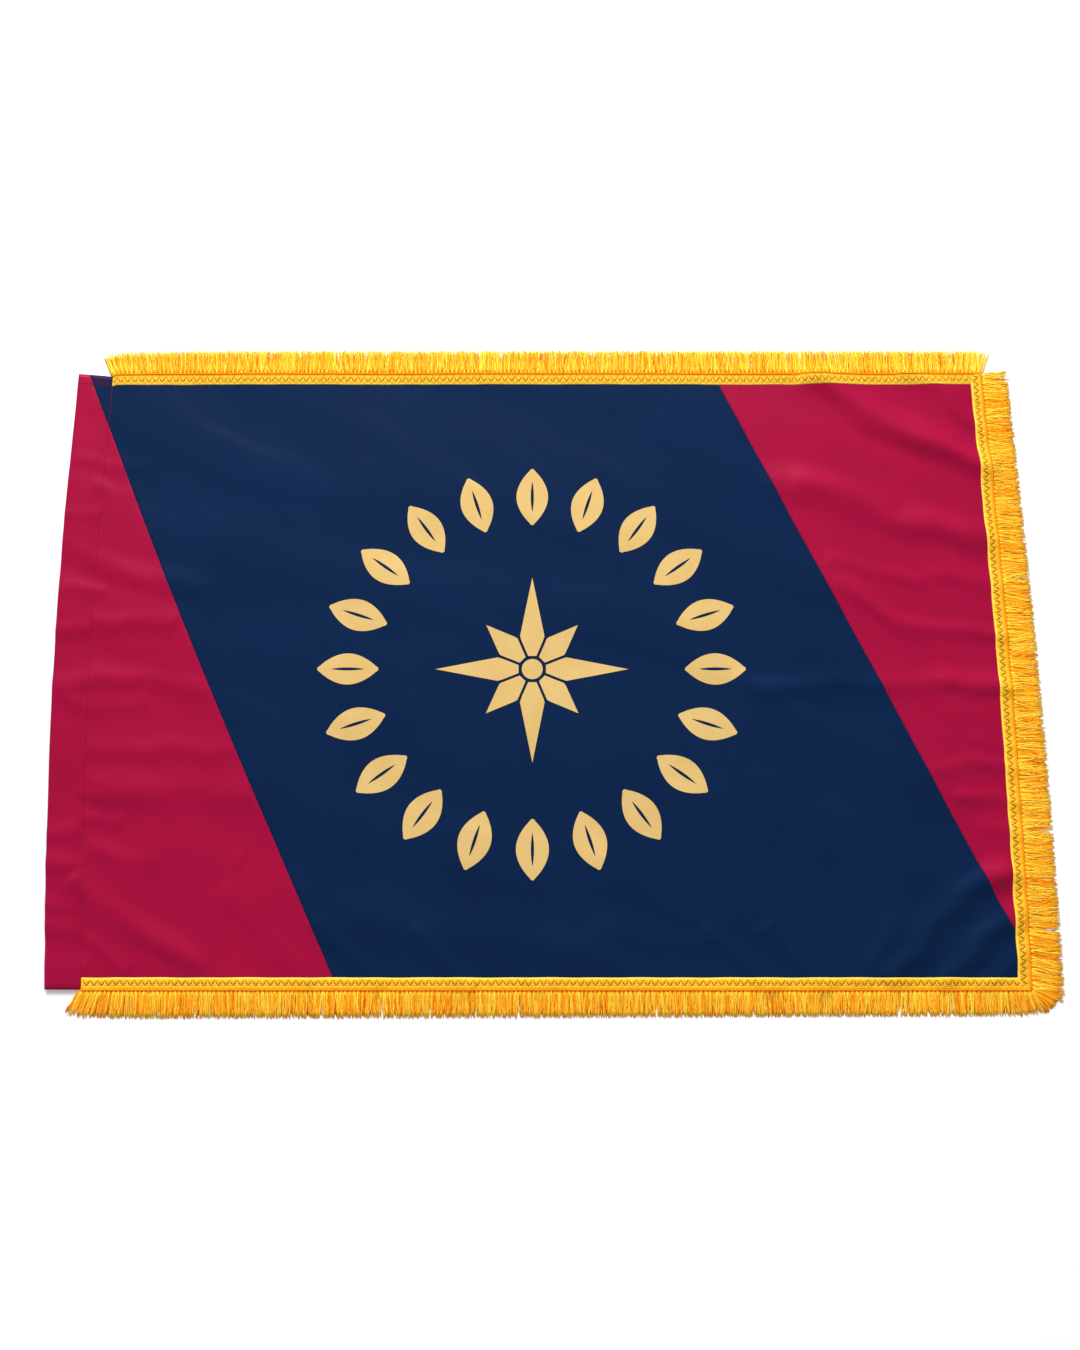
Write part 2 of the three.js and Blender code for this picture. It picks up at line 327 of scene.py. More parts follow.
FOLDS = (
    # Fly panel, from the top edge down.
    Fold(((272, 310), (297, 294), (346, 261), (394, 234), (443, 212), (482, 198)), 7.0, 14),
    Fold(((365, 310), (384, 297), (416, 287), (441, 261), (463, 238)), 3.0, 9),
    Fold(((248, 192), (300, 182), (364, 172)), 1.0, 12),
    Fold(((222, 203), (285, 183), (329, 164), (367, 149), (406, 141), (444, 134), (480, 129)), 5.4, 15),
    Fold(((286, 108), (334, 102), (382, 85)), 1.6, 8),
    Fold(((383, 94), (441, 87), (476, 84)), 1.4, 8),
    Fold(((285, 94), (332, 60), (365, 40), (403, 38), (440, 36), (471, 35)), 3.0, 8),
    Fold(((189, -18), (275, -16), (342, -14), (443, -13), (477, -13)), 2.6, 10),
    Fold(((385, -17), (444, -19), (476, -20)), 2.0, 7),
    Fold(((411, -68), (445, -74), (472, -77)), 1.2, 7),
    Fold(((371, -104), (419, -92), (446, -93), (475, -95)), 1.9, 7),
    Fold(((398, -126), (446, -126), (478, -127)), 2.3, 6.5),
    Fold(((410, -152), (447, -158), (475, -162)), 1.4, 7),
    Fold(((413, -190), (448, -199), (477, -204)), 1.8, 9),
    # Lower fly corner.
    Fold(((320, -301), (340, -280), (374, -246), (415, -211), (450, -185)), 4.8, 12),
    Fold(((371, -305), (390, -287), (414, -262), (447, -236), (471, -222)), 4.6, 10),
    Fold(((408, -305), (424, -291), (450, -269), (474, -250)), 2.2, 7),
    Fold(((292, -305), (305, -287), (334, -252), (351, -232)), 2.4, 9),
    # Along the bottom edge.
    Fold(((158, -250), (175, -263), (206, -291), (225, -310)), 2.6, 9),
    Fold(((217, -243), (230, -259), (259, -291), (275, -310)), 2.6, 9),
    Fold(((-203, -236), (-189, -250), (-157, -291), (-143, -310)), 2.2, 9),
    Fold(((-114, -246), (-100, -259), (-72, -291), (-58, -307)), 2.0, 9),
    Fold(((-180, -232), (-105, -246), (-30, -259), (91, -276)), 2.2, 22),
    Fold(((-292, -206), (-260, -243), (-225, -285), (-208, -305)), 1.3, 12),
    Fold(((-30, -273), (-7, -296), (7, -310)), 1.3, 8),
    Fold(((54, -246), (110, -259), (175, -259)), 1.3, 14),
    # From the sleeve and its seam, from the top down.
    Fold(((-458, 213), (-413, 210), (-388, 208)), 0.8, 6.9),
    Fold(((-436, 188), (-408, 183), (-390, 179)), 0.9, 8),
    Fold(((-463, 156), (-418, 156)), 0.9, 6.9),
    Fold(((-466, 135), (-430, 119), (-394, 98), (-349, 84), (-301, 83)), 2.6, 14.9),
    Fold(((-461, 78), (-413, 82)), 1.1, 6.9),
    Fold(((-468, 36), (-424, 39)), 1.5, 8),
    Fold(((-430, 49), (-377, 49), (-338, 44)), 1.6, 9.2),
    Fold(((-469, -27), (-420, -9), (-388, -6), (-344, -16), (-306, -22)), 2.3, 11.5),
    Fold(((-450, -32), (-401, -35), (-363, -32)), 1.4, 10.3),
    Fold(((-429, -72), (-376, -81), (-333, -79), (-276, -79)), 1.6, 10.3),
    Fold(((-423, -108), (-360, -123), (-303, -118), (-261, -126)), 2.2, 14.9),
    Fold(((-427, -122), (-394, -125)), 1.2, 5.8),
    Fold(((-428, -145), (-388, -145)), 1.3, 5.8),
    Fold(((-469, -168), (-426, -154)), 1.6, 8),
    Fold(((-468, -191), (-420, -192)), 2.0, 9.2),
    Fold(((-426, -171), (-392, -180), (-350, -192)), 1.4, 9.2),
    Fold(((-432, -200), (-423, -208), (-399, -225), (-373, -246), (-335, -271), (-307, -287)), 3.6, 13),
    Fold(((-468, -228), (-423, -233)), 1.5, 8),
    Fold(((-467, -247), (-420, -253)), 1.9, 9.2),
    Fold(((-467, -282), (-417, -288)), 1.3, 9.2),
    Fold(((-420, -256), (-401, -271), (-382, -291)), 1.2, 6.9),
    Fold(((-374, -171), (-321, -175), (-269, -187)), 1.2, 17.2),
)


# ---- Colour and nodes -----------------------------------------------------------------------------


def linear(hex_colour: str) -> tuple[float, float, float, float]:
    """Turns an sRGB hex colour into linear red, green, blue and alpha.

    Args:
        hex_colour: six digits, such as "A81A42".

    Returns:
        Linear components from 0 to 1, with alpha 1.
    """
    parts = [int(hex_colour[i : i + 2], 16) / 255 for i in (0, 2, 4)]
    red, green, blue = (p / 12.92 if p <= 0.04045 else ((p + 0.055) / 1.055) ** 2.4 for p in parts)
    return red, green, blue, 1.0


class Graph:
    """A material's node tree, with one call that adds a node."""

    def __init__(self, name: str) -> None:
        """Starts a material and keeps its Principled shader.

        Args:
            name: the material's name.
        """
        self.material = bpy.data.materials.new(name)
        self.material.use_nodes = True
        self.tree = self.material.node_tree
        self.shader = self.tree.nodes["Principled BSDF"]

    def add(self, kind: str, links: dict[Any, Any] | None = None, **settings: Any) -> bpy.types.Node:
        """Adds a node.

        Args:
            kind: the node's type, without "ShaderNode".
            links: input name or index to a socket that feeds it or to its value.
            **settings: properties of the node, such as operation="MULTIPLY".

        Returns:
            The node.
        """
        node = self.tree.nodes.new("ShaderNode" + kind)
        for name, value in settings.items():
            setattr(node, name, value)
        self.feed(node, links or {})
        return node

    def feed(self, node: bpy.types.Node, links: dict[Any, Any]) -> None:
        """Links or sets inputs of a node.

        Args:
            node: the node.
            links: input name or index to a socket that feeds it or to its value.
        """
        for name, value in links.items():
            if isinstance(value, Socket):
                self.tree.links.new(value, node.inputs[name])
            else:
                node.inputs[name].default_value = value

    def ramp(self, factor: Any, stops: Sequence[tuple[float, str]]) -> Socket:
        """A colour ramp.

        Args:
            factor: the socket that drives it.
            stops: positions and hex colours.

        Returns:
            Its colour socket.
        """
        node = self.add("ValToRGB", {"Fac": factor})
        elements = node.color_ramp.elements
        while len(elements) < len(stops):
            elements.new(0.5)
        for element, (position, colour) in zip(elements, stops):
            element.position = position
            element.color = linear(colour)
        return node.outputs["Color"]

    def mix(self, factor: Any, first: Any, second: Any, blend: str = "MIX") -> Socket:
        """Mixes two colours and returns the result's socket."""
        links = {0: factor, 6: first, 7: second}
        return self.add("Mix", links, data_type="RGBA", blend_type=blend).outputs[2]

    def maths(self, operation: str, *values: Any) -> Socket:
        """One step of arithmetic on sockets or numbers."""
        return self.add("Math", dict(enumerate(values)), operation=operation).outputs[0]

    def noise(self, place: Any, scale: float, detail: float, roughness: float = 0.5) -> Socket:
        """A cloudy pattern's factor."""
        links = {"Vector": place, "Scale": scale, "Detail": detail, "Roughness": roughness}
        return self.add("TexNoise", links).outputs["Fac"]

    def bands(
        self, place: Any, scale: float, distortion: float, direction: str = "X", detail_scale: float = 1.0
    ) -> Socket:
        """The factor of soft bands that follow one another in one direction."""
        links = {"Vector": place, "Scale": scale, "Distortion": distortion, "Detail Scale": detail_scale}
        return self.add("TexWave", links, bands_direction=direction).outputs["Fac"]

    def dress(
        self, colour: Any, roughness: Any, relief: Any, strength: float, depth: float,
        gloss: float = 0.5, sheen: tuple[float, float, str] | None = None,
    ) -> bpy.types.Material:
        """Feeds the shader its finish.

        Args:
            colour: the base colour.
            roughness: of the reflection.
            relief: height of the raised pattern, from 0 to 1.
            strength: how strongly the pattern shows.
            depth: how high it stands, in millimetres.
            gloss: strength of the plain reflection.
            sheen: weight, roughness and hex tint of the fibres' glow, or None without one.

        Returns:
            The finished material.
        """
        bump = self.add("Bump", {"Height": relief, "Strength": strength, "Distance": depth * MM})
        self.feed(self.shader, {"Base Color": colour, "Roughness": roughness, "Specular IOR Level": gloss})
        self.feed(self.shader, {"Normal": bump.outputs["Normal"]})
        if sheen:
            weight, spread, tint = sheen
            self.feed(self.shader, {"Sheen Weight": weight, "Sheen Roughness": spread})
            self.feed(self.shader, {"Sheen Tint": linear(tint)})
        return self.material


# ---- Finishes -------------------------------------------------------------------------------------


BANDS = 3.2  # Bands in a metre for one unit of a band pattern's scale.


@dataclass(frozen=True)
class SatinRayon:
    """Rayon satin, piece-dyed and pressed.

    The long floats of the weave give the eye a smooth matt-silk face with a soft bloom at glancing
    angles, and a faint grain across it. The real thread spacing of 0.2 mm can't be seen at this
    distance, so the grain is drawn at the spacing given here.

    Attributes:
        name: the material's name.
        colour: the dye.
        shade: the same dye a little darker, mixed in at random in soft blotches.
        bloom: tint of the sheen.
        gloss: strength of the satin reflection.
        roughness: of that reflection.
        grain: drawn thread spacing, in millimetres.
    """

    name: str
    colour: str
    shade: str
    bloom: str
    gloss: float
    grain: float = 1.125
    roughness: float = 0.42

    def build(self) -> bpy.types.Material:
        """Makes the material."""
        g = Graph(self.name)
        flat = g.add("UVMap", uv_map="cloth").outputs["UV"]
        cloud = g.noise(flat, 9.0, 5.0, 0.6)
        fibre = g.noise(flat, 620.0, 3.0)
        scale = 1000 / self.grain / BANDS
        weave = g.maths("MULTIPLY", g.bands(flat, scale, 1.2), g.bands(flat, scale, 1.2, "Y"))
        base = g.ramp(cloud, [(0.3, self.shade), (0.7, self.colour)])
        threads = g.ramp(fibre, [(0.3, "DADADA"), (0.75, "FFFFFF")])
        tint = self.tinted(g, g.mix(0.5, base, threads, "MULTIPLY"), flat)
        relief = g.maths("ADD", weave, g.maths("MULTIPLY", fibre, 0.6))
        rough = g.maths("MULTIPLY_ADD", cloud, 0.12, self.roughness - 0.06)
        return g.dress(tint, rough, relief, 0.16, 0.25, self.gloss, (0.03, 0.4, self.bloom))

    def tinted(self, g: Graph, colour: Socket, flat: Socket) -> Socket:
        """The colour as it is everywhere on a single layer."""
        return colour


@dataclass(frozen=True)
class LinedRayon(SatinRayon):
    """The same rayon where the sleeve's hem has a second, differently dyed layer behind it.

    Attributes:
        lining: what shows through inside the hem.
        hem: lowest flat y of the hem, in metres.
        side: flat x where the sleeve ends, in metres.
    """

    lining: str = "2A1238"
    hem: float = 0.0
    side: float = 0.0

    def tinted(self, g: Graph, colour: Socket, flat: Socket) -> Socket:
        """Mixes the lining's colour in inside the hem.

        Args:
            g: the material's nodes.
            colour: the socket with the single layer's colour.
            flat: the socket with flat x and y.

        Returns:
            The mixed colour's socket.
        """
        place = g.add("SeparateXYZ", {"Vector": flat})
        above = g.maths("GREATER_THAN", place.outputs["Y"], self.hem)
        beside = g.maths("LESS_THAN", place.outputs["X"], self.side)
        inside = g.maths("MULTIPLY", g.maths("MULTIPLY", above, beside), 0.8)
        return g.mix(inside, colour, linear(self.lining))


@dataclass(frozen=True)
class FusedTwill:
    """Cotton twill, cut out and fused on, which gives the eye a flat chalky patch.

    Attributes:
        name: the material's name.
        colour: the dye.
        shade: the same dye where the cloth is worn.
    """

    name: str = "cream_twill"
    colour: str = "D8B777"
    shade: str = "D2AE6A"

    def build(self) -> bpy.types.Material:
        """Makes the material, with the twill's ribs at 45 degrees, drawn 1.1 mm apart."""
        g = Graph(self.name)
        place = g.add("TexCoord").outputs["Object"]
        turn = g.add("Mapping", {"Vector": place, "Rotation": (0, 0, math.radians(45))})
        ribs = g.bands(turn.outputs[0], 230.0, 0.8)
        fibre = g.noise(place, 900.0, 2.0)
        base = g.ramp(g.noise(place, 30.0, 4.0), [(0.3, self.shade), (0.7, self.colour)])
        grain = g.ramp(fibre, [(0.3, "E6E6E6"), (0.7, "FFFFFF")])
        colour = g.mix(0.5, base, grain, "MULTIPLY")
        return g.dress(colour, 0.85, g.maths("ADD", ribs, fibre), 0.2, 0.2, 0.06)


@dataclass(frozen=True)
class WovenTape:
    """Rayon braid, woven narrow on a tape loom.

    Ribs across the tape and a raised selvedge give the eye a ladder of small golden bars.

    Attributes:
        name: the material's name.
        rib_gap_shade: painted shade on the yarns between the ribs.
        middle: most of the braid.
        light: a painted highlight on the crowns of the ribs.
        inner: the selvedge that lies on the cloth, lighter as a painted highlight.
        outer: the edge that the cord is sewn to, more orange as painted shade.
        rib: spacing of the ribs, in millimetres.
        inner_highlight_band: where across the tape the inner colour's painted highlight starts and is full,
            in millimetres, and its share there.
        outer_shade_band: the same for the outer colour's painted shade.
    """

    name: str = "woven_rayon_tape"
    rib_gap_shade: str = "D8900E"
    middle: str = "F5B626"
    light: str = "FFD842"
    inner: str = "FFDE54"
    outer: str = "F59A12"
    rib: float = 1.7
    inner_highlight_band: tuple[float, float, float] = (2.4, 0.8, 0.65)
    outer_shade_band: tuple[float, float, float] = (8.4, 10.0, 0.5)

    def build(self) -> bpy.types.Material:
        """Makes the material on a UV map of metres along and across the tape."""
        g = Graph(self.name)
        flat = g.add("UVMap", uv_map="tape").outputs["UV"]
        place = g.add("SeparateXYZ", {"Vector": flat})
        across = place.outputs["Y"]
        ribs = g.bands(flat, 1000 / self.rib / BANDS, 1.6, detail_scale=3.0)
        weave = g.maths("MULTIPLY", ribs, g.bands(flat, 210.0, 1.5, "Y"))
        knots = g.add("TexVoronoi", {"Vector": flat, "Scale": 520.0}).outputs["Distance"]
        cloud = g.noise(flat, 240.0, 4.0, 0.7)
        mottle = g.maths("ADD", g.maths("MULTIPLY", weave, 0.45), g.maths("MULTIPLY", cloud, 0.6))
        # The ramp paints shade between the ribs and a highlight on their crowns, mixed with a random mottle.
        colour = g.ramp(mottle, [(0.2, self.rib_gap_shade), (0.42, self.middle), (0.75, self.light)])
        # Painted highlight along the inner edge and painted shade towards the outer edge.
        for (start, end, share), tint in ((self.inner_highlight_band, self.inner), (self.outer_shade_band, self.outer)):
            near = g.add("MapRange", {"Value": across, 1: start * MM, 2: end * MM, 3: 0.0, 4: share})
            colour = g.mix(near.outputs[0], colour, linear(tint))
        relief = g.maths("ADD", weave, g.maths("MULTIPLY", knots, 0.5))
        return g.dress(colour, 0.48, relief, 0.55, 0.5, 0.1, (0.08, 0.4, "FFC93C"))


@dataclass(frozen=True)
class TwistedYarn:
    """Bright rayon floss, twisted into bullion yarn.

    The plies wind round the yarn, so the eye gets a string of slanted highlights with orange
    grooves between them. The grooves are darkened in the colour itself, as painted shade.

    Attributes:
        name: the material's name.
        groove: colour of the darkest yarns, deep under the others, darkened as painted shade.
        deep: colour of the yarns that lie underneath, and of the grooves between the plies, both darkened
            as painted shade.
        middle: colour of most yarns.
        bright: colour of the yarns on top, lightened as a painted highlight.
        twist: length of one turn, in millimetres.
    """

    name: str
    groove: str
    deep: str
    middle: str
    bright: str
    twist: float = 3.1

    def build(self) -> bpy.types.Material:
        """Makes the material on a UV map of turns round and metres along the yarn."""
        g = Graph(self.name)
        flat = g.add("UVMap", uv_map="yarn").outputs["UV"]
        place = g.add("SeparateXYZ", {"Vector": flat})
        tone = g.add("Attribute", attribute_name="tone").outputs["Fac"]
        turns = g.maths("MULTIPLY_ADD", place.outputs["Y"], 1000 / self.twist, place.outputs["X"])
        ply = g.maths("MULTIPLY", turns, math.tau * 2)
        wind = g.maths("MULTIPLY_ADD", g.maths("SINE", ply), 0.5, 0.5)
        # The tone ramp runs from the painted shade of the lowest yarns to the painted highlight of those on
        # top.
        base = g.ramp(tone, [(0.0, self.groove), (0.32, self.deep), (0.66, self.middle), (1.0, self.bright)])
        # Painted shade: the grooves between the plies are mixed towards the deep colour.
        groove = g.maths("MULTIPLY", g.maths("SUBTRACT", 1.0, wind), 0.42)
        colour = g.mix(groove, base, linear(self.deep))
        relief = g.maths("ADD", wind, g.maths("MULTIPLY", g.noise(flat, 800.0, 2.0), 0.3))
        return g.dress(colour, 0.42, relief, 0.5, 0.4, 0.06, (0.05, 0.35, "FFB020"))


@dataclass(frozen=True)
class SewingThread:
    """Spun polyester thread, slightly fuzzy, with the twist just showing.

    Attributes:
        name: the material's name.
        colour: of the thread's crowns.
        shade: painted shade between its fibres.
    """

    name: str
    colour: str
    shade: str

    def build(self) -> bpy.types.Material:
        """Makes the material."""
        g = Graph(self.name)
        place = g.add("TexCoord").outputs["Object"]
        fuzz = g.noise(place, 1400.0, 3.0)
        # The fuzz pattern paints shade between the fibres and leaves the crowns in the thread's colour.
        colour = g.ramp(fuzz, [(0.35, self.shade), (0.65, self.colour)])
        return g.dress(colour, 0.6, fuzz, 0.4, 0.2, 0.08)


@dataclass(frozen=True)
class TannedLeather:
    """Vegetable-tanned cowhide, with a pebbled grain side and darker pores.

    Attributes:
        name: the material's name.
        colour: of the pebbles.
        pore: between the pebbles.
    """

    name: str = "tanned_leather"
    colour: str = "7A4C2A"
    pore: str = "4A2B17"

    def build(self) -> bpy.types.Material:
        """Makes the material, with pebbles about 0.8 mm across."""
        g = Graph(self.name)
        place = g.add("TexCoord").outputs["Object"]
        grain = g.add("TexVoronoi", {"Vector": place, "Scale": 1200.0}).outputs["Distance"]
        mixed = g.maths("MULTIPLY", grain, g.noise(place, 180.0, 4.0))
        colour = g.ramp(mixed, [(0.05, self.pore), (0.3, self.colour)])
        return g.dress(colour, 0.55, grain, 0.4, 0.3)


class Finish(Enum):
    """The flag's finishes, by what they are made of."""

    CRIMSON = SatinRayon("crimson_satin_rayon", "A00839", "980736", "FF3566", 0.07)
    NAVY = SatinRayon("navy_satin_rayon", "082247", "071F42", "2A5BC8", 0.045)
    CREAM = FusedTwill()
    TAPE = WovenTape()
    YARN = TwistedYarn("bullion_rayon_yarn", "B85600", "FB8C08", "FFBE28", "FFEE4E")
    CORD = TwistedYarn("chain_stitched_cord", "FF7E04", "FF8E08", "FF9E10", "FFAA18", twist=2.4)
    BROWN_THREAD = SewingThread("zigzag_sewing_thread", "A05A06", "7E4404")
    RED_THREAD = SewingThread("crimson_sewing_thread", "8C0C32", "6C0826")
    LEATHER = TannedLeather()


_made: dict[str, bpy.types.Material] = {}


def material_of(finish: Any) -> bpy.types.Material:
    """Makes a finish's material the first time, and gives the same one after that.

    Args:
        finish: a Finish, or a finish's own dataclass.

    Returns:
        The material.
    """
    recipe = finish.value if isinstance(finish, Finish) else finish
    if recipe.name not in _made:
        _made[recipe.name] = recipe.build()
    return _made[recipe.name]


# ---- Mesh helpers ---------------------------------------------------------------------------------


def coordinates(vertices: Any) -> np.ndarray:
    """Positions of mesh or bmesh vertices, one row each."""
    return np.array([v.co[:] for v in vertices])


def place_vertices(bm: BMesh, points: np.ndarray) -> None:
    """Moves each vertex of a bmesh to the row of points with its number."""
    for vertex, point in zip(bm.verts, points):
        vertex.co = point


def cut(bm: BMesh, point: Sequence[float], across: Sequence[float], **clear: bool) -> None:
    """Cuts a bmesh along a plane. clear_inner or clear_outer drops what lies on that side."""
    everything = [*bm.verts, *bm.edges, *bm.faces]
    bmesh.ops.bisect_plane(bm, geom=everything, plane_co=point, plane_no=across, **clear)


def to_mesh(name: str, bm: BMesh) -> bpy.types.Mesh:
    """Turns a bmesh into a mesh and frees it.

    Args:
        name: the mesh's name.
        bm: the bmesh.

    Returns:
        The mesh.
    """
    mesh = bpy.data.meshes.new(name)
    bm.to_mesh(mesh)
    bm.free()
    return mesh


def put_in_scene(name: str, data: bpy.types.ID) -> bpy.types.Object:
    """Makes an object of a mesh, a light or a camera.

    Args:
        name: the object's name.
        data: what it holds.

    Returns:
        The object, in the scene.
    """
    made = bpy.data.objects.new(name, data)
    bpy.context.scene.collection.objects.link(made)
    return made


def thicken(piece: bpy.types.Object, thickness: float, offset: float) -> None:
    """Gives a sheet its thickness.

    Args:
        piece: the sheet.
        thickness: in metres.
        offset: 1 to thicken it upwards, or -1 downwards.
    """
    wall = piece.modifiers.new("thickness", "SOLIDIFY")
    wall.thickness = thickness
    wall.offset = offset


def flat_grid(corner: tuple[float, float], size: tuple[float, float], step: tuple[float, float]) -> BMesh:
    """A grid in the flag's plane.

    Args:
        corner: its lowest x and y, in metres.
        size: its width and height.
        step: about how far apart its lines are.

    Returns:
        The new bmesh.
    """
    bm = bmesh.new()
    counts = [max(1, round(s / t)) for s, t in zip(size, step)]
    bmesh.ops.create_grid(bm, x_segments=counts[0], y_segments=counts[1], size=0.5)
    bmesh.ops.scale(bm, vec=(size[0], size[1], 1), verts=bm.verts)
    bmesh.ops.translate(bm, vec=(corner[0] + size[0] / 2, corner[1] + size[1] / 2, 0), verts=bm.verts)
    return bm


def write_uv(bm: BMesh, name: str, position: Callable[[Vector], tuple[float, float]]) -> None:
    """Gives every face corner a place on a UV map.

    Args:
        bm: the bmesh.
        name: the map's name.
        position: takes a vertex's position and gives u and v.
    """
    layer = bm.loops.layers.uv.new(name)
    for face in bm.faces:
        for loop in face.loops:
            loop[layer].uv = position(loop.vert.co)


def add_piece(
    name: str, mesh: bpy.types.Mesh, finish: Any, node: str, thickness: float = 0.0
) -> bpy.types.Object:
    """Makes a finished piece that rides on the flag.

    Args:
        name: the piece's name.
        mesh: its mesh, in place.
        finish: what it is made of.
        node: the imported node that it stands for.
        thickness: the cloth's thickness in metres, or 0 for a mesh that is already solid.

    Returns:
        The piece's object.
    """
    mesh.materials.append(material_of(finish))
    mesh.polygons.foreach_set("use_smooth", [True] * len(mesh.polygons))
    piece = put_in_scene(name, mesh)
    if thickness:
        thicken(piece, thickness, 1.0)
    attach(piece, "root")
    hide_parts(node)
    log.info("%s: %d faces", name, len(mesh.polygons))
    return piece


UV_STEP = 0.0137  # Each copy's map starts this much further on, in metres, so that no two look alike.


@dataclass(frozen=True)
class Stamp:
    """A small shape that is repeated along the flag's edges.

    Attributes:
        shape: its vertices before they are placed, one row each, with z from 0 to 1 along it.
        mesh: the shape as a mesh, with its UV map.
    """

    shape: np.ndarray
    mesh: bpy.types.Mesh

    @classmethod
    def rod(cls, sides: int, lengths: int, uv_map: str) -> "Stamp":
        """A rod of radius 1 and length 1 along z, with rings that let it bend.

        Args:
            sides: how many sides it has.
            lengths: into how many lengths its rings divide it.
            uv_map: the name of its map, of turns round and share along.

        Returns:
            The stamp.
        """
        bm = bmesh.new()
        bmesh.ops.create_cone(
            bm, cap_ends=True, segments=sides, radius1=1, radius2=1, depth=1,
            matrix=Matrix.Translation((0, 0, 0.5)),
        )
        for i in range(1, lengths):
            cut(bm, (0, 0, i / lengths), (0, 0, 1))
        layer = bm.loops.layers.uv.new(uv_map)
        for face in bm.faces:
            middle = face.calc_center_median()
            turn = math.atan2(middle.y, middle.x) / math.tau
            for loop in face.loops:
                own = math.atan2(loop.vert.co.y, loop.vert.co.x) / math.tau
                loop[layer].uv = (turn + (own - turn + 0.5) % 1 - 0.5, loop.vert.co.z)
        mesh = to_mesh("stamp", bm)
        return cls(coordinates(mesh.vertices), mesh)

    def between(self, start: np.ndarray, end: np.ndarray, girth: np.ndarray) -> np.ndarray:
        """Lays the shape flat from one point to another.

        Args:
            start: x and y where it begins.
            end: x and y where it ends.
            girth: its radius at each vertex.

        Returns:
            Rows of x and y, one for each vertex.
        """
        along = end - start
        side = np.array((-along[1], along[0])) / np.hypot(*along)
        return start + np.outer(self.shape[:, 2], along) + np.outer(self.shape[:, 0] * girth, side)

    def repeat(self, name: str, points: np.ndarray, lengths: np.ndarray | None = None) -> bpy.types.Mesh:
        """Joins copies of the shape into one mesh.

        Args:
            name: the new mesh's name.
            points: for each copy, the place of each vertex.
            lengths: each copy's length in metres, which scales the map along it.

        Returns:
            The joined mesh.
        """
        bm = bmesh.new()
        for _ in points:
            bm.from_mesh(self.mesh)
        mesh = to_mesh(name, bm)
        mesh.vertices.foreach_set("co", points.reshape(-1))
        if lengths is not None:
            layer = mesh.uv_layers[0].data
            flat = np.empty(len(layer) * 2)
            layer.foreach_get("uv", flat)
            per_copy = flat.reshape(len(points), -1, 2)
            per_copy[:, :, 1] *= column(lengths)
            per_copy[:, :, 1] += column(np.arange(len(points)) * UV_STEP)
            layer.foreach_set("uv", per_copy.reshape(-1))
        mesh.update()
        return mesh


def write_tone(mesh: bpy.types.Mesh, tones: np.ndarray, per_copy: int) -> None:
    """Writes each copy's brightness to a joined mesh, one value a vertex."""
    attribute = mesh.attributes.new("tone", "FLOAT", "POINT")
    attribute.data.foreach_set("value", np.repeat(tones, per_copy))


# ---- Cloth ----------------------------------------------------------------------------------------


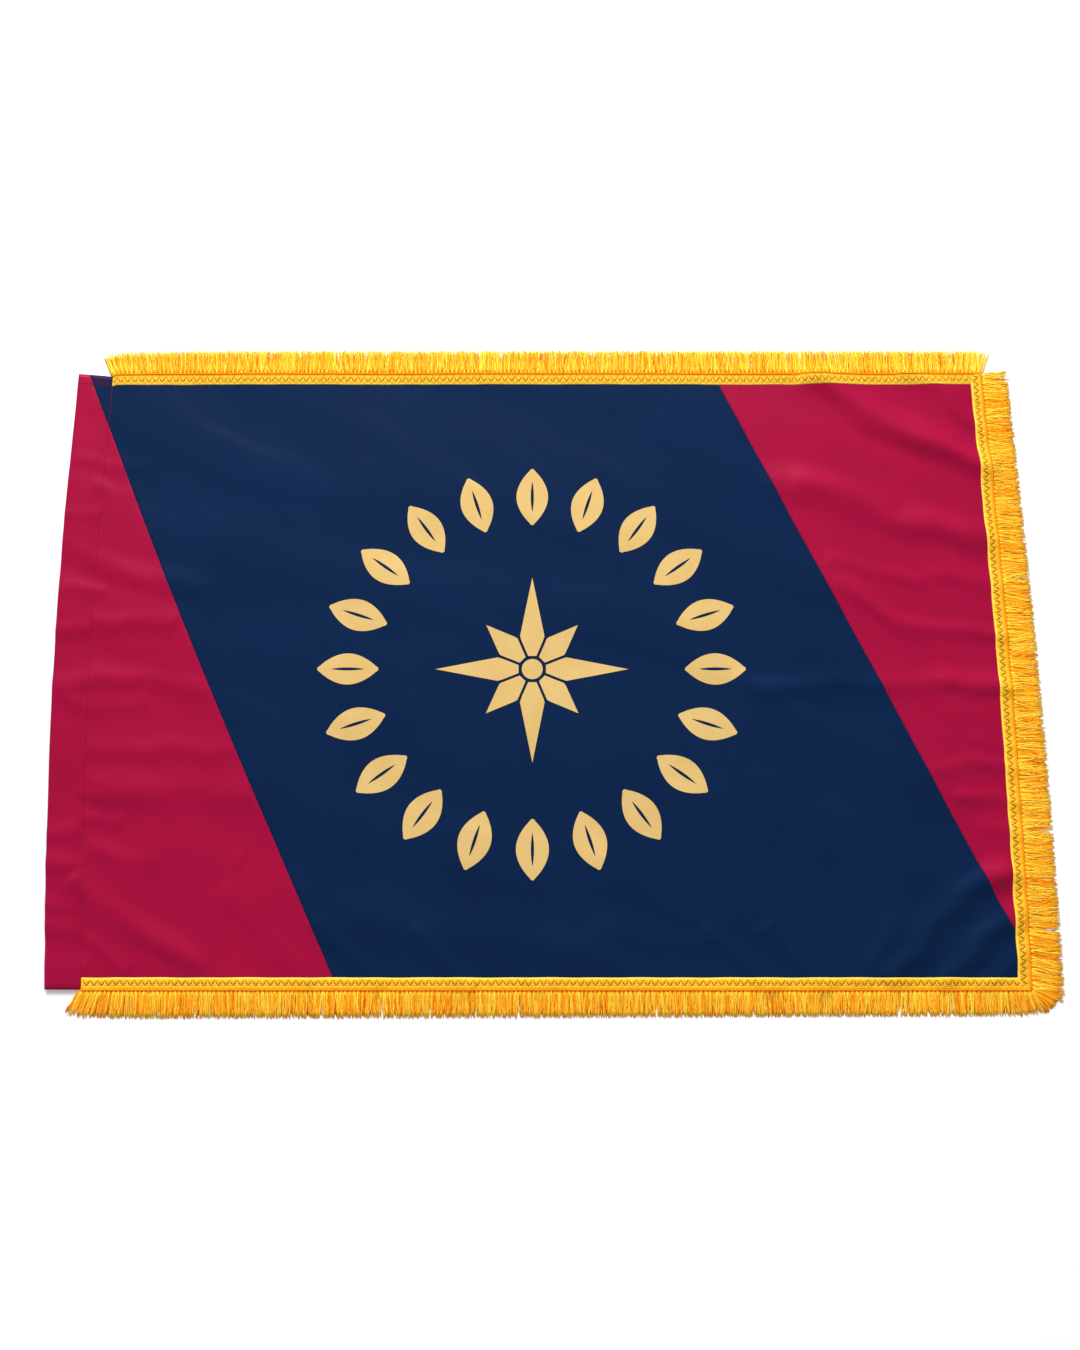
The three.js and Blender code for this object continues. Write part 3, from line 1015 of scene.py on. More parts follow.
@dataclass
class FlagCloth:
    """The three joined panels and the pole sleeve.

    Attributes:
        layout: the flag's edges.
        drape: the surface that the cloth follows.
        step: spacing of the mesh, in metres.
        sleeve_step: the same along the fly in the hoist panel, which bends round the sleeve.
        thickness: of the cloth.
        crown: height of the empty sleeve over the floor.
        end_crown: its height at its two ends.
        end_length: how far in from an end the sleeve reaches its full height.
        fold_start: height at which the front leaves the folded edge.
        seam_height: height of the front along the sleeve's seam.
        fall_start: share of the sleeve's width from which the front falls to the seam.
        field_height: height of the front past the seam.
        fold_depth: how far in from the hoist edge the sleeve's fold is rounded.
        turn_up: how far in from the hoist edge the lining starts to turn up to the fold.
        hem: depth of the hem at the sleeve's top end, which shows the lining.
    """

    layout: Layout
    drape: Drape
    step: float = 3.5 * MM
    sleeve_step: float = 2.2 * MM
    thickness: float = 0.35 * MM
    crown: float = 2.1 * MM
    end_crown: float = 1.3 * MM
    end_length: float = 35 * MM
    fold_depth: float = 7 * MM
    turn_up: float = 4 * MM
    fold_start: float = 1.1 * MM
    seam_height: float = 0.45 * MM
    fall_start: float = 0.68
    field_height: float = 0.35 * MM
    hem: float = 10 * MM

    def join(self, left: str, right: str) -> tuple[Vector, Vector]:
        """A join's line, from the boxes of the panels beside it.

        Args:
            left: node of the panel on the hoist side.
            right: node of the panel on the fly side.

        Returns:
            A point on the join and the direction across it, towards the fly.
        """
        top = Vector((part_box(right)[0][0], self.layout.top, 0))
        bottom = Vector((self.layout.fly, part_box(right)[0][1], 0))
        if left == "hoist_panel":
            bottom = Vector((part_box(left)[1][0], self.layout.bottom, 0))
        along = bottom - top
        return top, Vector((-along.y, along.x, 0)).normalized()

    def surface(self, x: np.ndarray, y: np.ndarray) -> tuple[np.ndarray, np.ndarray]:
        """Where the front of the flag is before its folds.

        Args:
            x: flat distances from the hoist fold, in metres.
            y: flat distances up the hoist, in metres. The sleeve is flatter towards its ends.

        Returns:
            Distances along the fly and heights, both in metres.
        """
        turn = np.clip(x / self.fold_depth, 0, 1) * math.pi / 2
        along = np.where(x < self.fold_depth, self.fold_depth * (1 - np.cos(turn)), x)
        to_end = np.minimum(self.layout.top - y, y - self.layout.bottom) / self.end_length
        crown = self.end_crown + (self.crown - self.end_crown) * np.clip(to_end, 0, 1)
        rise = self.fold_start + (crown - self.fold_start) * np.sin(turn)
        seam = self.layout.seam - self.layout.hoist
        rise = rise + (self.seam_height - crown) * ease((x / seam - self.fall_start) / (1 - self.fall_start))
        rise = rise + (self.field_height - self.seam_height) * ease((x - seam) / SEAM_STEP)
        return along, rise

    def lay_front(self, points: np.ndarray) -> np.ndarray:
        """Lays points of the front layer over the sleeve and the field.

        Args:
            points: rows of flat x, flat y and height over the cloth, in metres.

        Returns:
            The same points on the flag.
        """
        along, rise = self.surface(points[:, 0] - self.layout.hoist, points[:, 1])
        shaped = points.copy()
        shaped[:, 0] = self.layout.hoist + along
        shaped[:, 2] += rise
        return self.drape.lay(shaped)

    def build_panel(self, name: str, node: str, finish: Any) -> bpy.types.Object:
        """Cuts one panel along its joins and lays it.

        Args:
            name: the piece's name.
            node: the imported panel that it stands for.
            finish: its cloth.

        Returns:
            The piece.
        """
        low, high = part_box(node)
        start, end, step = low[0] - self.step, self.layout.fly, self.step
        if node == "hoist_panel":
            start, end, step = self.layout.hoist, high[0] + self.step, self.sleeve_step
        bm = flat_grid((start, self.layout.bottom), (end - start, self.layout.size[1]), (step, self.step))
        if node != "fly_panel":
            self.trim(bm, *self.join("hoist_panel", "centre_panel"), keep_hoist=node == "hoist_panel")
        if node != "hoist_panel":
            self.trim(bm, *self.join("centre_panel", "fly_panel"), keep_hoist=node == "centre_panel")
        write_uv(bm, "cloth", lambda co: (co.x, co.y))
        area = sum(face.calc_area() for face in bm.faces)
        flat = coordinates(bm.verts)
        place_vertices(bm, self.lay_front(flat))
        piece = add_piece(name, to_mesh(name, bm), finish, node, self.thickness)
        return piece

    def trim(self, bm: BMesh, point: Vector, across: Vector, keep_hoist: bool) -> None:
        """Cuts a panel along a join and drops the part beyond it."""
        cut(bm, point, across, clear_outer=keep_hoist, clear_inner=not keep_hoist)

    def build_lining(self) -> bpy.types.Object:
        """The sleeve's back layer, turned up along the hoist edge to meet the front."""
        low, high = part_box("sleeve_back")
        bm = flat_grid(low[:2], (high[0] - low[0], high[1] - low[1]), (1.5 * MM, 4 * MM))
        write_uv(bm, "cloth", lambda co: (co.x, co.y))
        flat = coordinates(bm.verts)
        share = np.clip((flat[:, 0] - low[0]) / self.turn_up, 0, 1)
        turn = share * math.pi / 2
        flat[:, 0] = np.where(share < 1, low[0] + self.turn_up * (1 - np.cos(turn)), flat[:, 0])
        flat[:, 2] = (self.fold_start - 0.1 * MM) * (1 - np.sin(turn)) + 0.05 * MM
        place_vertices(bm, self.drape.lay(flat))
        mesh = to_mesh("sleeve_lining", bm)
        piece = add_piece("sleeve_lining", mesh, Finish.CRIMSON, "sleeve_back", self.thickness)
        return piece

    def build(self) -> None:
        """Builds the cloth."""
        self.build_lining()
        navy = Finish.NAVY.value
        lined = LinedRayon(
            "navy_rayon_over_lining", navy.colour, navy.shade, navy.bloom, navy.gloss,
            hem=self.layout.top - self.hem, side=self.layout.seam + 1.2 * MM,
        )
        self.build_panel("crimson_hoist_cloth", "hoist_panel", Finish.CRIMSON)
        self.build_panel("navy_centre_cloth", "centre_panel", lined)
        self.build_panel("crimson_fly_cloth", "fly_panel", Finish.CRIMSON)


# ---- Stitching ------------------------------------------------------------------------------------


@dataclass
class Stitching:
    """Runs of straight stitches on the pole sleeve.

    Attributes:
        cloth: the cloth that the stitches hold.
        length: of one stitch, in metres.
        pitch: from one stitch to the next.
        radius: of the thread.
    """

    cloth: FlagCloth
    length: float = 2.5 * MM
    pitch: float = 3.3 * MM
    radius: float = 0.31 * MM

    def run(self, name: str, start: tuple[float, float], end: tuple[float, float], node: str) -> None:
        """Sews a straight run.

        Args:
            name: the piece's name.
            start: flat x and y where it begins, in metres.
            end: flat x and y where it ends.
            node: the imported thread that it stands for.
        """
        stamp = Stamp.rod(6, 4, "thread")
        span = np.subtract(end, start)
        total = float(np.hypot(*span))
        along = span / total
        arch = np.sin(np.pi * stamp.shape[:, 2])
        thin = self.radius * (0.45 + 0.55 * arch)
        height = self.cloth.thickness + stamp.shape[:, 1] * thin + self.radius * (arch - 0.5)
        copies = []
        for i in range(int(total / self.pitch)):
            begin = np.array(start) + along * (i + 0.12) * self.pitch
            flat = stamp.between(begin, begin + along * self.length, thin)
            copies.append(self.cloth.lay_front(np.column_stack((flat, height))))
        add_piece(name, stamp.repeat(name, np.array(copies)), Finish.RED_THREAD, node)

    def build(self) -> None:
        """Sews the sleeve's long seam and the hems at its ends."""
        edges = self.cloth.layout
        seam = (edges.seam, edges.bottom), (edges.seam, edges.top)
        self.run("sleeve_seam_stitches", *seam, "sleeve_seam_thread")
        for end in ("top", "bottom"):
            node = "sleeve_hem_thread_" + end
            y = middle_of(node)[1]
            self.run(f"{end}_hem_stitches", (edges.hoist + 1 * MM, y), (edges.seam, y), node)


# ---- Fringe ---------------------------------------------------------------------------------------


class Edge(Enum):
    """The three edges that carry a fringe. Rail.of gives each the direction in which it is sewn."""

    TOP = "top"
    FLY = "fly"
    BOTTOM = "bottom"


@dataclass(frozen=True)
class Layer:
    """One of the three layers of yarns in a skirt.

    Attributes:
        radius: of a yarn, in metres. The lowest yarns are loose and so the thickest.
        height: how far the layer lies over the lowest one, in metres.
        shorter: how much shorter its yarns are than the highest layer's, in metres.
        darker: how much darker they are, from 0 to 1, as painted shade cast by the yarns above.
        darker_in_fan: the same painted shade in the fan at the lower fly corner, which lets in more light.
        strands: how many yarns a bundle has.
        shift: how far its bundles lie from the highest layer's, in bundles.
        stray: how far its yarns stray, as a share of the edge's wander.
    """

    radius: float
    height: float
    shorter: float
    darker: float
    darker_in_fan: float
    strands: int
    shift: float
    stray: float


LAYERS = (
    Layer(0.8 * MM, 0.0, 3 * MM, darker=0.45, darker_in_fan=0.4, strands=4, shift=-0.5, stray=0.8),
    Layer(0.58 * MM, 0.6 * MM, 1.5 * MM, darker=0.2, darker_in_fan=0.15, strands=5, shift=0.5, stray=0.7),
    Layer(0.5 * MM, 1.2 * MM, 0.0, darker=0.0, darker_in_fan=0.0, strands=5, shift=0.0, stray=0.5),
)

# Lengths of the waves in which the yarns sway along an edge, in millimetres.
SWAY = (13, 23, 41, 83)

# The clumps round the lower fly corner: how far each has turned from the bottom edge towards the
# fly, and how far its yarns stray, in degrees.
CLUMPS = ((33, 2), (40, 2), (49, 2), (56, 2), (65, 3), (73, 3), (81, 3), (88, 2))


@dataclass(frozen=True)
class Rail:
    """The line that an edge's trim is sewn along, with distances measured from its start.

    Attributes:
        start: x and y of its start, in metres.
        along: unit direction of the edge.
        out: unit direction away from the cloth.
        length: of the edge.
    """

    start: np.ndarray
    along: np.ndarray
    out: np.ndarray
    length: float

    @classmethod
    def of(cls, edge: Edge, layout: Layout) -> "Rail":
        """Lays out one edge's rail, from the sleeve to the fly or from the top to the bottom.

        Args:
            edge: which edge.
            layout: the flag's edges.

        Returns:
            The rail.
        """
        if edge is Edge.FLY:
            corner = np.array((layout.fly, layout.top))
            return cls(corner, np.array((0, -1)), np.array((1, 0)), layout.size[1])
        y, out = (layout.top, 1) if edge is Edge.TOP else (layout.bottom, -1)
        length = layout.fly - layout.seam
        return cls(np.array((layout.seam, y)), np.array((1, 0)), np.array((0, out)), length)

    def point(self, distance: Any, outwards: Any) -> np.ndarray:
        """Rows of x and y at distances along the rail and out from it."""
        return self.start + np.outer(distance, self.along) + np.outer(outwards, self.out)


@dataclass
class FringeEdge:
    """The trim on one edge: a heading tape, its zigzag stitching, a cord and a skirt of yarns.

    Attributes:
        edge: which edge it is on.
        layout: the flag's edges.
        drape: the surface that the cloth follows.
        reach: average length of the yarns past the cord, in metres.
        growth: how much longer they are at the end of the edge.
        tone: average brightness of the yarns, from 0 to 1.
        wander: how far the yarns stray from straight, in degrees.
        start_lean: how far they lean along the edge at its start, in degrees, and how far on that
            has died away, in millimetres.
        end_lean: the same at its end.
        tape_width: width of the heading tape, in metres, as are the sizes after it.
        tape_height: of its middle over the cloth.
        tape_edge: height of its inner edge.
        selvedge: rise of the raised selvedge along its outer edge.
        lap: rise of the fly's tape, which laps the other two.
        pull: how deep the zigzag presses the tape.
        zigzag_step: from one hole to the next along the tape.
        zigzag_reach: from one side of the zigzag to the other.
        zigzag_centre: from the cloth's edge in to its middle.
        zigzag_margin: from the tape's end to the first hole.
        thread_radius: of the zigzag's thread.
        cord_radius: half the thickness of one of the cord's loops.
        cord_height: of the cord's middle over the cloth.
        cord_out: from the cloth's edge out to the cord's middle.
        cord_loop: length of a loop, in steps from one loop to the next.
        bundle: from one bundle of yarns to the next.
        combed: how far from an edge's end the yarns are combed straighter.
        corner_highlight_run: how far from the upper fly corner the yarns are painted paler, as a highlight.
        thin_run: how far from that corner some of them are missing.
    """

    edge: Edge
    layout: Layout
    drape: Drape
    reach: float
    growth: float
    tone: float
    wander: float
    start_lean: tuple[float, float]
    end_lean: tuple[float, float]
    tape_width: float = 11 * MM
    tape_height: float = 2.1 * MM
    tape_edge: float = 0.8 * MM
    selvedge: float = 0.3 * MM
    lap: float = 0.45 * MM
    pull: float = 0.7 * MM
    zigzag_step: float = 3.45 * MM
    zigzag_reach: float = 5.6 * MM
    zigzag_centre: float = 5.8 * MM
    zigzag_margin: float = 1.5 * MM
    thread_radius: float = 0.35 * MM
    cord_radius: float = 0.943 * MM
    cord_height: float = 2.2 * MM
    cord_out: float = 0.4 * MM
    cord_loop: float = 1.9
    bundle: float = 4.1 * MM
    combed: float = 20 * MM
    corner_highlight_run: float = 12 * MM
    thin_run: float = 6 * MM

    def __post_init__(self) -> None:
        """Works out the rail and the edge's own stream of random numbers."""
        self.name = self.edge.value
        self.rail = Rail.of(self.edge, self.layout)
        self.draw = np.random.default_rng(SEED + len(self.name) * 13)
        self.lift = self.lap if self.edge is Edge.FLY else 0.0
        self.tape_length = self.rail.length - (0 if self.edge is Edge.FLY else 3 * MM)

    def laid(self, distance: Any, outwards: Any, height: Any) -> np.ndarray:
        """Places points of the trim on the cloth.

        Args:
            distance: how far along the edge each point is, in metres.
            outwards: how far out from the cloth's edge.
            height: how far over the cloth.

        Returns:
            Rows of x, y and z.
        """
        heights = np.broadcast_to(height, np.shape(distance))
        flat = np.column_stack((self.rail.point(distance, outwards), heights))
        laid = self.drape.lay(flat)
        over = np.clip(np.asarray(outwards) / (12 * MM), 0, 1)
        laid[:, 2] = flat[:, 2] + (laid[:, 2] - flat[:, 2]) * (1 - over)
        return laid

    def swing(self, along: np.ndarray) -> np.ndarray:
        """Where the zigzag is across the tape.

        Args:
            along: distances from the tape's start, in metres.

        Returns:
            Distances out from the cloth's edge, in metres.
        """
        steps = (along - self.zigzag_margin) / self.zigzag_step
        triangle = 2 * np.abs(steps % 2 - 1) - 1
        return -self.zigzag_centre - triangle * self.zigzag_reach / 2

    def tape_surface(self, along: np.ndarray, out: np.ndarray) -> np.ndarray:
        """Height of the tape: rounded at its inner edge and pressed down by the zigzag.

        Args:
            along: distances from the tape's start, in metres.
            out: distances out from the cloth's edge, in metres.

        Returns:
            Heights over the cloth, in metres.
        """
        share = 1 + out / self.tape_width
        crown = 1 - np.clip(1 - 2 * share, 0, 1) ** 2.4 - 0.25 * np.clip(2 * share - 1, 0, 1) ** 4
        selvedge = self.selvedge * np.exp(-(((share - 0.92) / 0.06) ** 2))
        pressed = self.pull * np.exp(-(((out - self.swing(along)) / (1.25 * MM)) ** 2))
        return self.tape_edge + (self.tape_height - self.tape_edge) * crown + selvedge - pressed

    def build_tape(self) -> None:
        """Weaves the heading: a strip with rounded edges and a raised outer selvedge."""
        size = (self.tape_length, self.tape_width)
        bm = flat_grid((0, 0), size, (0.88 * MM, self.tape_width / 16))
        write_uv(bm, "tape", lambda co: (co.x, co.y))
        flat = coordinates(bm.verts)
        along, out = flat[:, 0], flat[:, 1] - self.tape_width
        wobble = 0.22 * MM * np.sin(along / (9 * MM)) * np.sin(along / (23 * MM) + 1)
        place_vertices(bm, self.laid(along, out + wobble, self.lift + self.tape_surface(along, out)))
        if self.edge is Edge.BOTTOM:  # Its rail is a mirror image, which turns the faces over.
            bmesh.ops.reverse_faces(bm, faces=bm.faces)
        name = f"{self.name}_heading_tape"
        piece = add_piece(name, to_mesh(name, bm), Finish.TAPE, "heading_" + self.name)
        thicken(piece, 0.5 * MM, -1.0)

    def build_zigzag(self) -> None:
        """Sews the zigzag: one slanted stitch from each hole to the next."""
        stamp = Stamp.rod(6, 4, "thread")
        arch = np.sin(np.pi * stamp.shape[:, 2])
        thin = self.thread_radius * (0.5 + 0.5 * arch)
        over = self.thread_radius * (1.3 * arch - 0.3) + stamp.shape[:, 1] * thin + self.lift
        copies = []
        for i in range(int((self.tape_length - 2 * self.zigzag_margin) / self.zigzag_step)):
            holes = self.zigzag_margin + np.array((i, i + 1)) * self.zigzag_step
            ends = np.column_stack((holes, self.swing(holes) + self.draw.normal(0, 0.2 * MM, 2)))
            along, out = stamp.between(*ends, thin).T
            copies.append(self.laid(along, out, self.tape_surface(along, out) + over))
        mesh = stamp.repeat(f"{self.name}_zigzag", np.array(copies))
        node = "zigzag_thread_" + self.name
        add_piece(f"{self.name}_zigzag_stitches", mesh, Finish.BROWN_THREAD, node)

    def build_cord(self) -> None:
        """Chain-stitches the cord: a row of slanted overlapping loops along the tape's edge."""
        stamp = Stamp.rod(6, 4, "yarn")
        pitch = self.bundle / 2
        count = int(self.rail.length / pitch)
        middle = stamp.shape[:, 2] - 0.5
        girth = self.cord_radius * np.sqrt(np.clip(1 - (2 * middle) ** 2, 0.04, 1))
        out = self.cord_out + 0.9 * MM * middle + stamp.shape[:, 0] * girth
        height = self.cord_height + stamp.shape[:, 1] * girth
        copies = [
            self.laid((i + middle * self.cord_loop + 0.5) * pitch, out, height) for i in range(count)
        ]
        mesh = stamp.repeat(f"{self.name}_cord", np.array(copies), np.full(count, self.cord_loop * pitch))
        write_tone(mesh, np.clip(self.draw.normal(0.45, 0.15, count), 0, 1), len(stamp.shape))
        add_piece(f"{self.name}_edge_cord", mesh, Finish.CORD, "edge_cord_" + self.name)

    def lean(self, distance: np.ndarray) -> np.ndarray:
        """How far the yarns lean along the edge, in degrees, by where they hang.

        Args:
            distance: distances along the edge, in metres.

        Returns:
            The lean, positive along the rail.
        """
        away = distance / MM
        left = (self.rail.length - distance) / MM
        draw = np.random.default_rng(SEED + ord(self.name[0]))
        total = np.zeros(distance.shape)
        for length in SWAY:
            total += np.sin(math.tau * (away / length + draw.uniform())) * self.wander * 0.3
        if self.edge is not Edge.FLY:  # The sway sets in gradually beside the sleeve.
            total *= np.clip(away / 25, 0, 1)
        (at_start, start_run), (at_end, end_run) = self.start_lean, self.end_lean
        return total + at_start * np.exp(-away / start_run) + at_end * np.exp(-left / end_run)

    def build_skirt(self) -> None:
        """Hangs the yarns in bundles, fewer where two skirts meet at the upper fly corner."""
        bundles = round(self.rail.length / self.bundle)
        pitch = self.rail.length / bundles
        centres = (np.arange(bundles) + 0.5) * pitch
        skirt = Skirt(self.laid, self.draw, self.wander * 0.21 * MM)
        for layer in LAYERS:
            centre = np.repeat(centres, layer.strands) + layer.shift * pitch
            spots = (np.arange(layer.strands) + 0.5) / layer.strands - 0.5
            offset = np.tile(spots, bundles) * pitch
            keep = self.draw.uniform(size=len(centre)) >= self.thinned(centre)
            centre, offset = centre[keep], offset[keep]
            to_end = np.minimum(centre, self.rail.length - centre)
            loose = self.wander * layer.stray
            stray = self.draw.normal(0, loose, len(centre)) * np.clip(to_end / self.combed, 0.35, 1)
            reach = self.reach + self.growth * (centre / self.rail.length) ** 1.5 - layer.shorter
            # Painted highlight: the yarns near the upper fly corner are made paler.
            glow = 0.3 * np.exp(-self.from_corner(centre) / self.corner_highlight_run)
            lean = self.lean(centre + offset) + stray
            # Painted shade: each lower layer is darkened, as the yarns above shade it.
            skirt.hang(centre, offset, lean, reach, layer, self.tone - layer.darker + glow)
        # Painted highlight: the loops, which lie on top, are made brighter.
        skirt.loops(centres, self.lean(centres) * 0.4, self.tone + 0.3)
        skirt.finish(f"{self.name}_yarn_skirt", "skirt_" + self.name)

    def from_corner(self, centre: np.ndarray) -> np.ndarray:
        """How far bundles are from the upper fly corner, where the yarns are thin, loose and painted pale as
        a highlight.

        Args:
            centre: distances of the bundles along the edge, in metres.

        Returns:
            Distances from the corner, in metres. The bottom edge is the fly's height away or more.
        """
        if self.edge is Edge.BOTTOM:
            return np.full(len(centre), self.layout.size[1])
        return self.rail.length - centre if self.edge is Edge.TOP else centre

    def thinned(self, centre: np.ndarray) -> np.ndarray:
        """Share of the yarns that are missing, by where they hang."""
        return np.clip(1 - self.from_corner(centre) / self.thin_run, 0, 1) * 0.4

    def build_fan(self, strands: int = 4) -> None:
        """Fans clumps of yarns round the end of the edge, as at the lower fly corner.

        Args:
            strands: how many yarns each clump has in each layer.
        """
        skirt = Skirt(self.laid, self.draw, 0.8 * MM)
        for layer in LAYERS:
            for lean, spread in CLUMPS:
                turn = lean + self.draw.normal(0, spread, strands)
                centre = np.full(strands, self.rail.length) - 0.8 * MM * (1 - turn / 90)
                reach = self.reach + self.growth + 3.5 * MM * turn / 90
                # Painted shade on the fan's lower layers.
                tone = self.tone - layer.darker_in_fan
                skirt.hang(centre, np.zeros(strands), turn, reach, layer, tone)
        skirt.finish("corner_yarn_fan", "skirt_corner")

    def build(self) -> None:
        """Builds the edge's trim."""
        self.build_tape()
        self.build_zigzag()
        self.build_cord()
        self.build_skirt()
        if self.edge is Edge.BOTTOM:
            self.build_fan()


class Skirt:
    """Yarns that hang from an edge, gathered until they are joined into one piece.

    The tables below are read along a yarn or a loop: shares of its length, and the value at each.

    Attributes:
        GIRTH: a yarn's girth as a share of its radius.
        FALL: how much of a layer's height over the floor a yarn still has.
        LOOP_GIRTH: a loop's girth as a share of its radius.
        LOOP_RISE: a loop's height, in millimetres.
        LOOP_LENGTH: a loop's length, in metres.
        LOOP_RADIUS: a loop's radius, in metres.
    """

    GIRTH = (0, 0.12, 0.5, 0.8, 1), (0.95, 1.1, 1.05, 0.95, 0.55)
    FALL = (0, 0.15, 0.5, 1), (0.8, 1.0, 0.65, 0.12)
    LOOP_GIRTH = (0, 0.2, 0.55, 1), (0.8, 1.05, 0.9, 0.4)
    LOOP_RISE = (0, 0.3, 1), (1.2, 1.4, 1.1)
    LOOP_LENGTH = 5.2 * MM
    LOOP_RADIUS = 1.15 * MM

    def __init__(self, lay: Callable[..., np.ndarray], draw: np.random.Generator, curl: float) -> None:
        """Starts an empty skirt.

        Args:
            lay: turns distances along, outwards and up into points on the flag.
            draw: the edge's stream of random numbers.
            curl: how far a yarn's end bends aside, in metres.
        """
        self.lay = lay
        self.draw = draw
        self.curl = curl
        self.stamp = Stamp.rod(5, 5, "yarn")
        self.points: list[np.ndarray] = []
        self.lengths: list[np.ndarray] = []
        self.tones: list[np.ndarray] = []

    def keep(self, along: np.ndarray, out: np.ndarray, height: np.ndarray, length: Any, tone: Any) -> None:
        """Adds yarns whose points are known.

        Args:
            along: distances along the edge, a row for each yarn.
            out: distances out from the cloth's edge.
            height: heights over the floor or the cloth.
            length: the yarns' lengths.
            tone: their average brightness, from 0 to 1, or one value for each yarn.
        """
        count = len(along)
        laid = self.lay(along.reshape(-1), out.reshape(-1), height.reshape(-1))
        self.points.append(laid.reshape(count, -1, 3))
        self.lengths.append(np.broadcast_to(length, count))
        self.tones.append(np.clip(self.draw.normal(tone, 0.25, count), np.clip(tone - 0.45, 0, 0.3), 1))

    def hang(
        self, centre: np.ndarray, offset: np.ndarray, lean: np.ndarray, reach: Any, layer: Layer, tone: Any
    ) -> None:
        """Hangs a layer of yarns with uneven ends.

        Args:
            centre: where along the edge each yarn's bundle is, in metres.
            offset: how far each yarn opens out from the middle of its bundle.
            lean: each yarn's lean along the edge, in degrees.
            reach: average length.
            layer: which of the three layers they are in.
            tone: average brightness.
        """
        draw = self.draw
        count = len(centre)
        side, up, share = (self.stamp.shape[None, :, i] for i in range(3))
        length = reach + draw.normal(0, 0.4 * MM, count) - abs(draw.normal(0, 0.5 * MM, count))
        thick = layer.radius * draw.uniform(0.82, 1.15, (count, 1))
        girth = thick * np.interp(share, *self.GIRTH)
        opened = 0.45 + 0.55 * np.clip(share / 0.3, 0, 1)
        curve = column(draw.normal(0, self.curl, count)) * share**2
        wave = column(draw.normal(0, self.curl * 0.45, count)) * np.sqrt(share)
        curve = curve + wave * np.sin(column(draw.uniform(0, math.tau, count)) + share * 8)
        turned = column(np.radians(lean))
        gone = 0.6 * MM + share * column(length)
        aside = curve + side * girth
        along = column(centre) + column(offset) * opened + gone * np.sin(turned) + aside * np.cos(turned)
        out = gone * np.cos(turned) - aside * np.sin(turned)
        lift = column(draw.uniform(0, 0.4 * MM, count) + layer.height)
        height = np.minimum(thick, girth) + lift * np.interp(share, *self.FALL) + up * girth
        self.keep(along, out, height, length, tone)

    def loops(self, centre: np.ndarray, lean: np.ndarray, tone: float) -> None:
        """Adds the plump loop from which each bundle leaves the cord.

        Args:
            centre: where along the edge the bundles are, in metres.
            lean: each loop's lean, in degrees.
            tone: average brightness.
        """
        side, up, share = (self.stamp.shape[None, :, i] for i in range(3))
        turned = column(np.radians(lean))
        girth = self.LOOP_RADIUS * np.interp(share, *self.LOOP_GIRTH)
        gone = 0.9 * MM + share * self.LOOP_LENGTH
        along = column(centre) + gone * np.sin(turned) + side * girth * np.cos(turned)
        out = gone * np.cos(turned) - side * girth * np.sin(turned)
        height = np.interp(share, *self.LOOP_RISE) * MM + up * girth
        self.keep(along, out, np.broadcast_to(height, along.shape), self.LOOP_LENGTH, tone)

    def finish(self, name: str, node: str) -> None:
        """Joins the yarns into one piece.

        Args:
            name: the piece's name.
            node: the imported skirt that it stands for.
        """
        points = np.concatenate(self.points)
        mesh = self.stamp.repeat(name, points, np.concatenate(self.lengths))
        write_tone(mesh, np.concatenate(self.tones), len(self.stamp.shape))
        add_piece(name, mesh, Finish.YARN, node)


# ---- Emblem ---------------------------------------------------------------------------------------


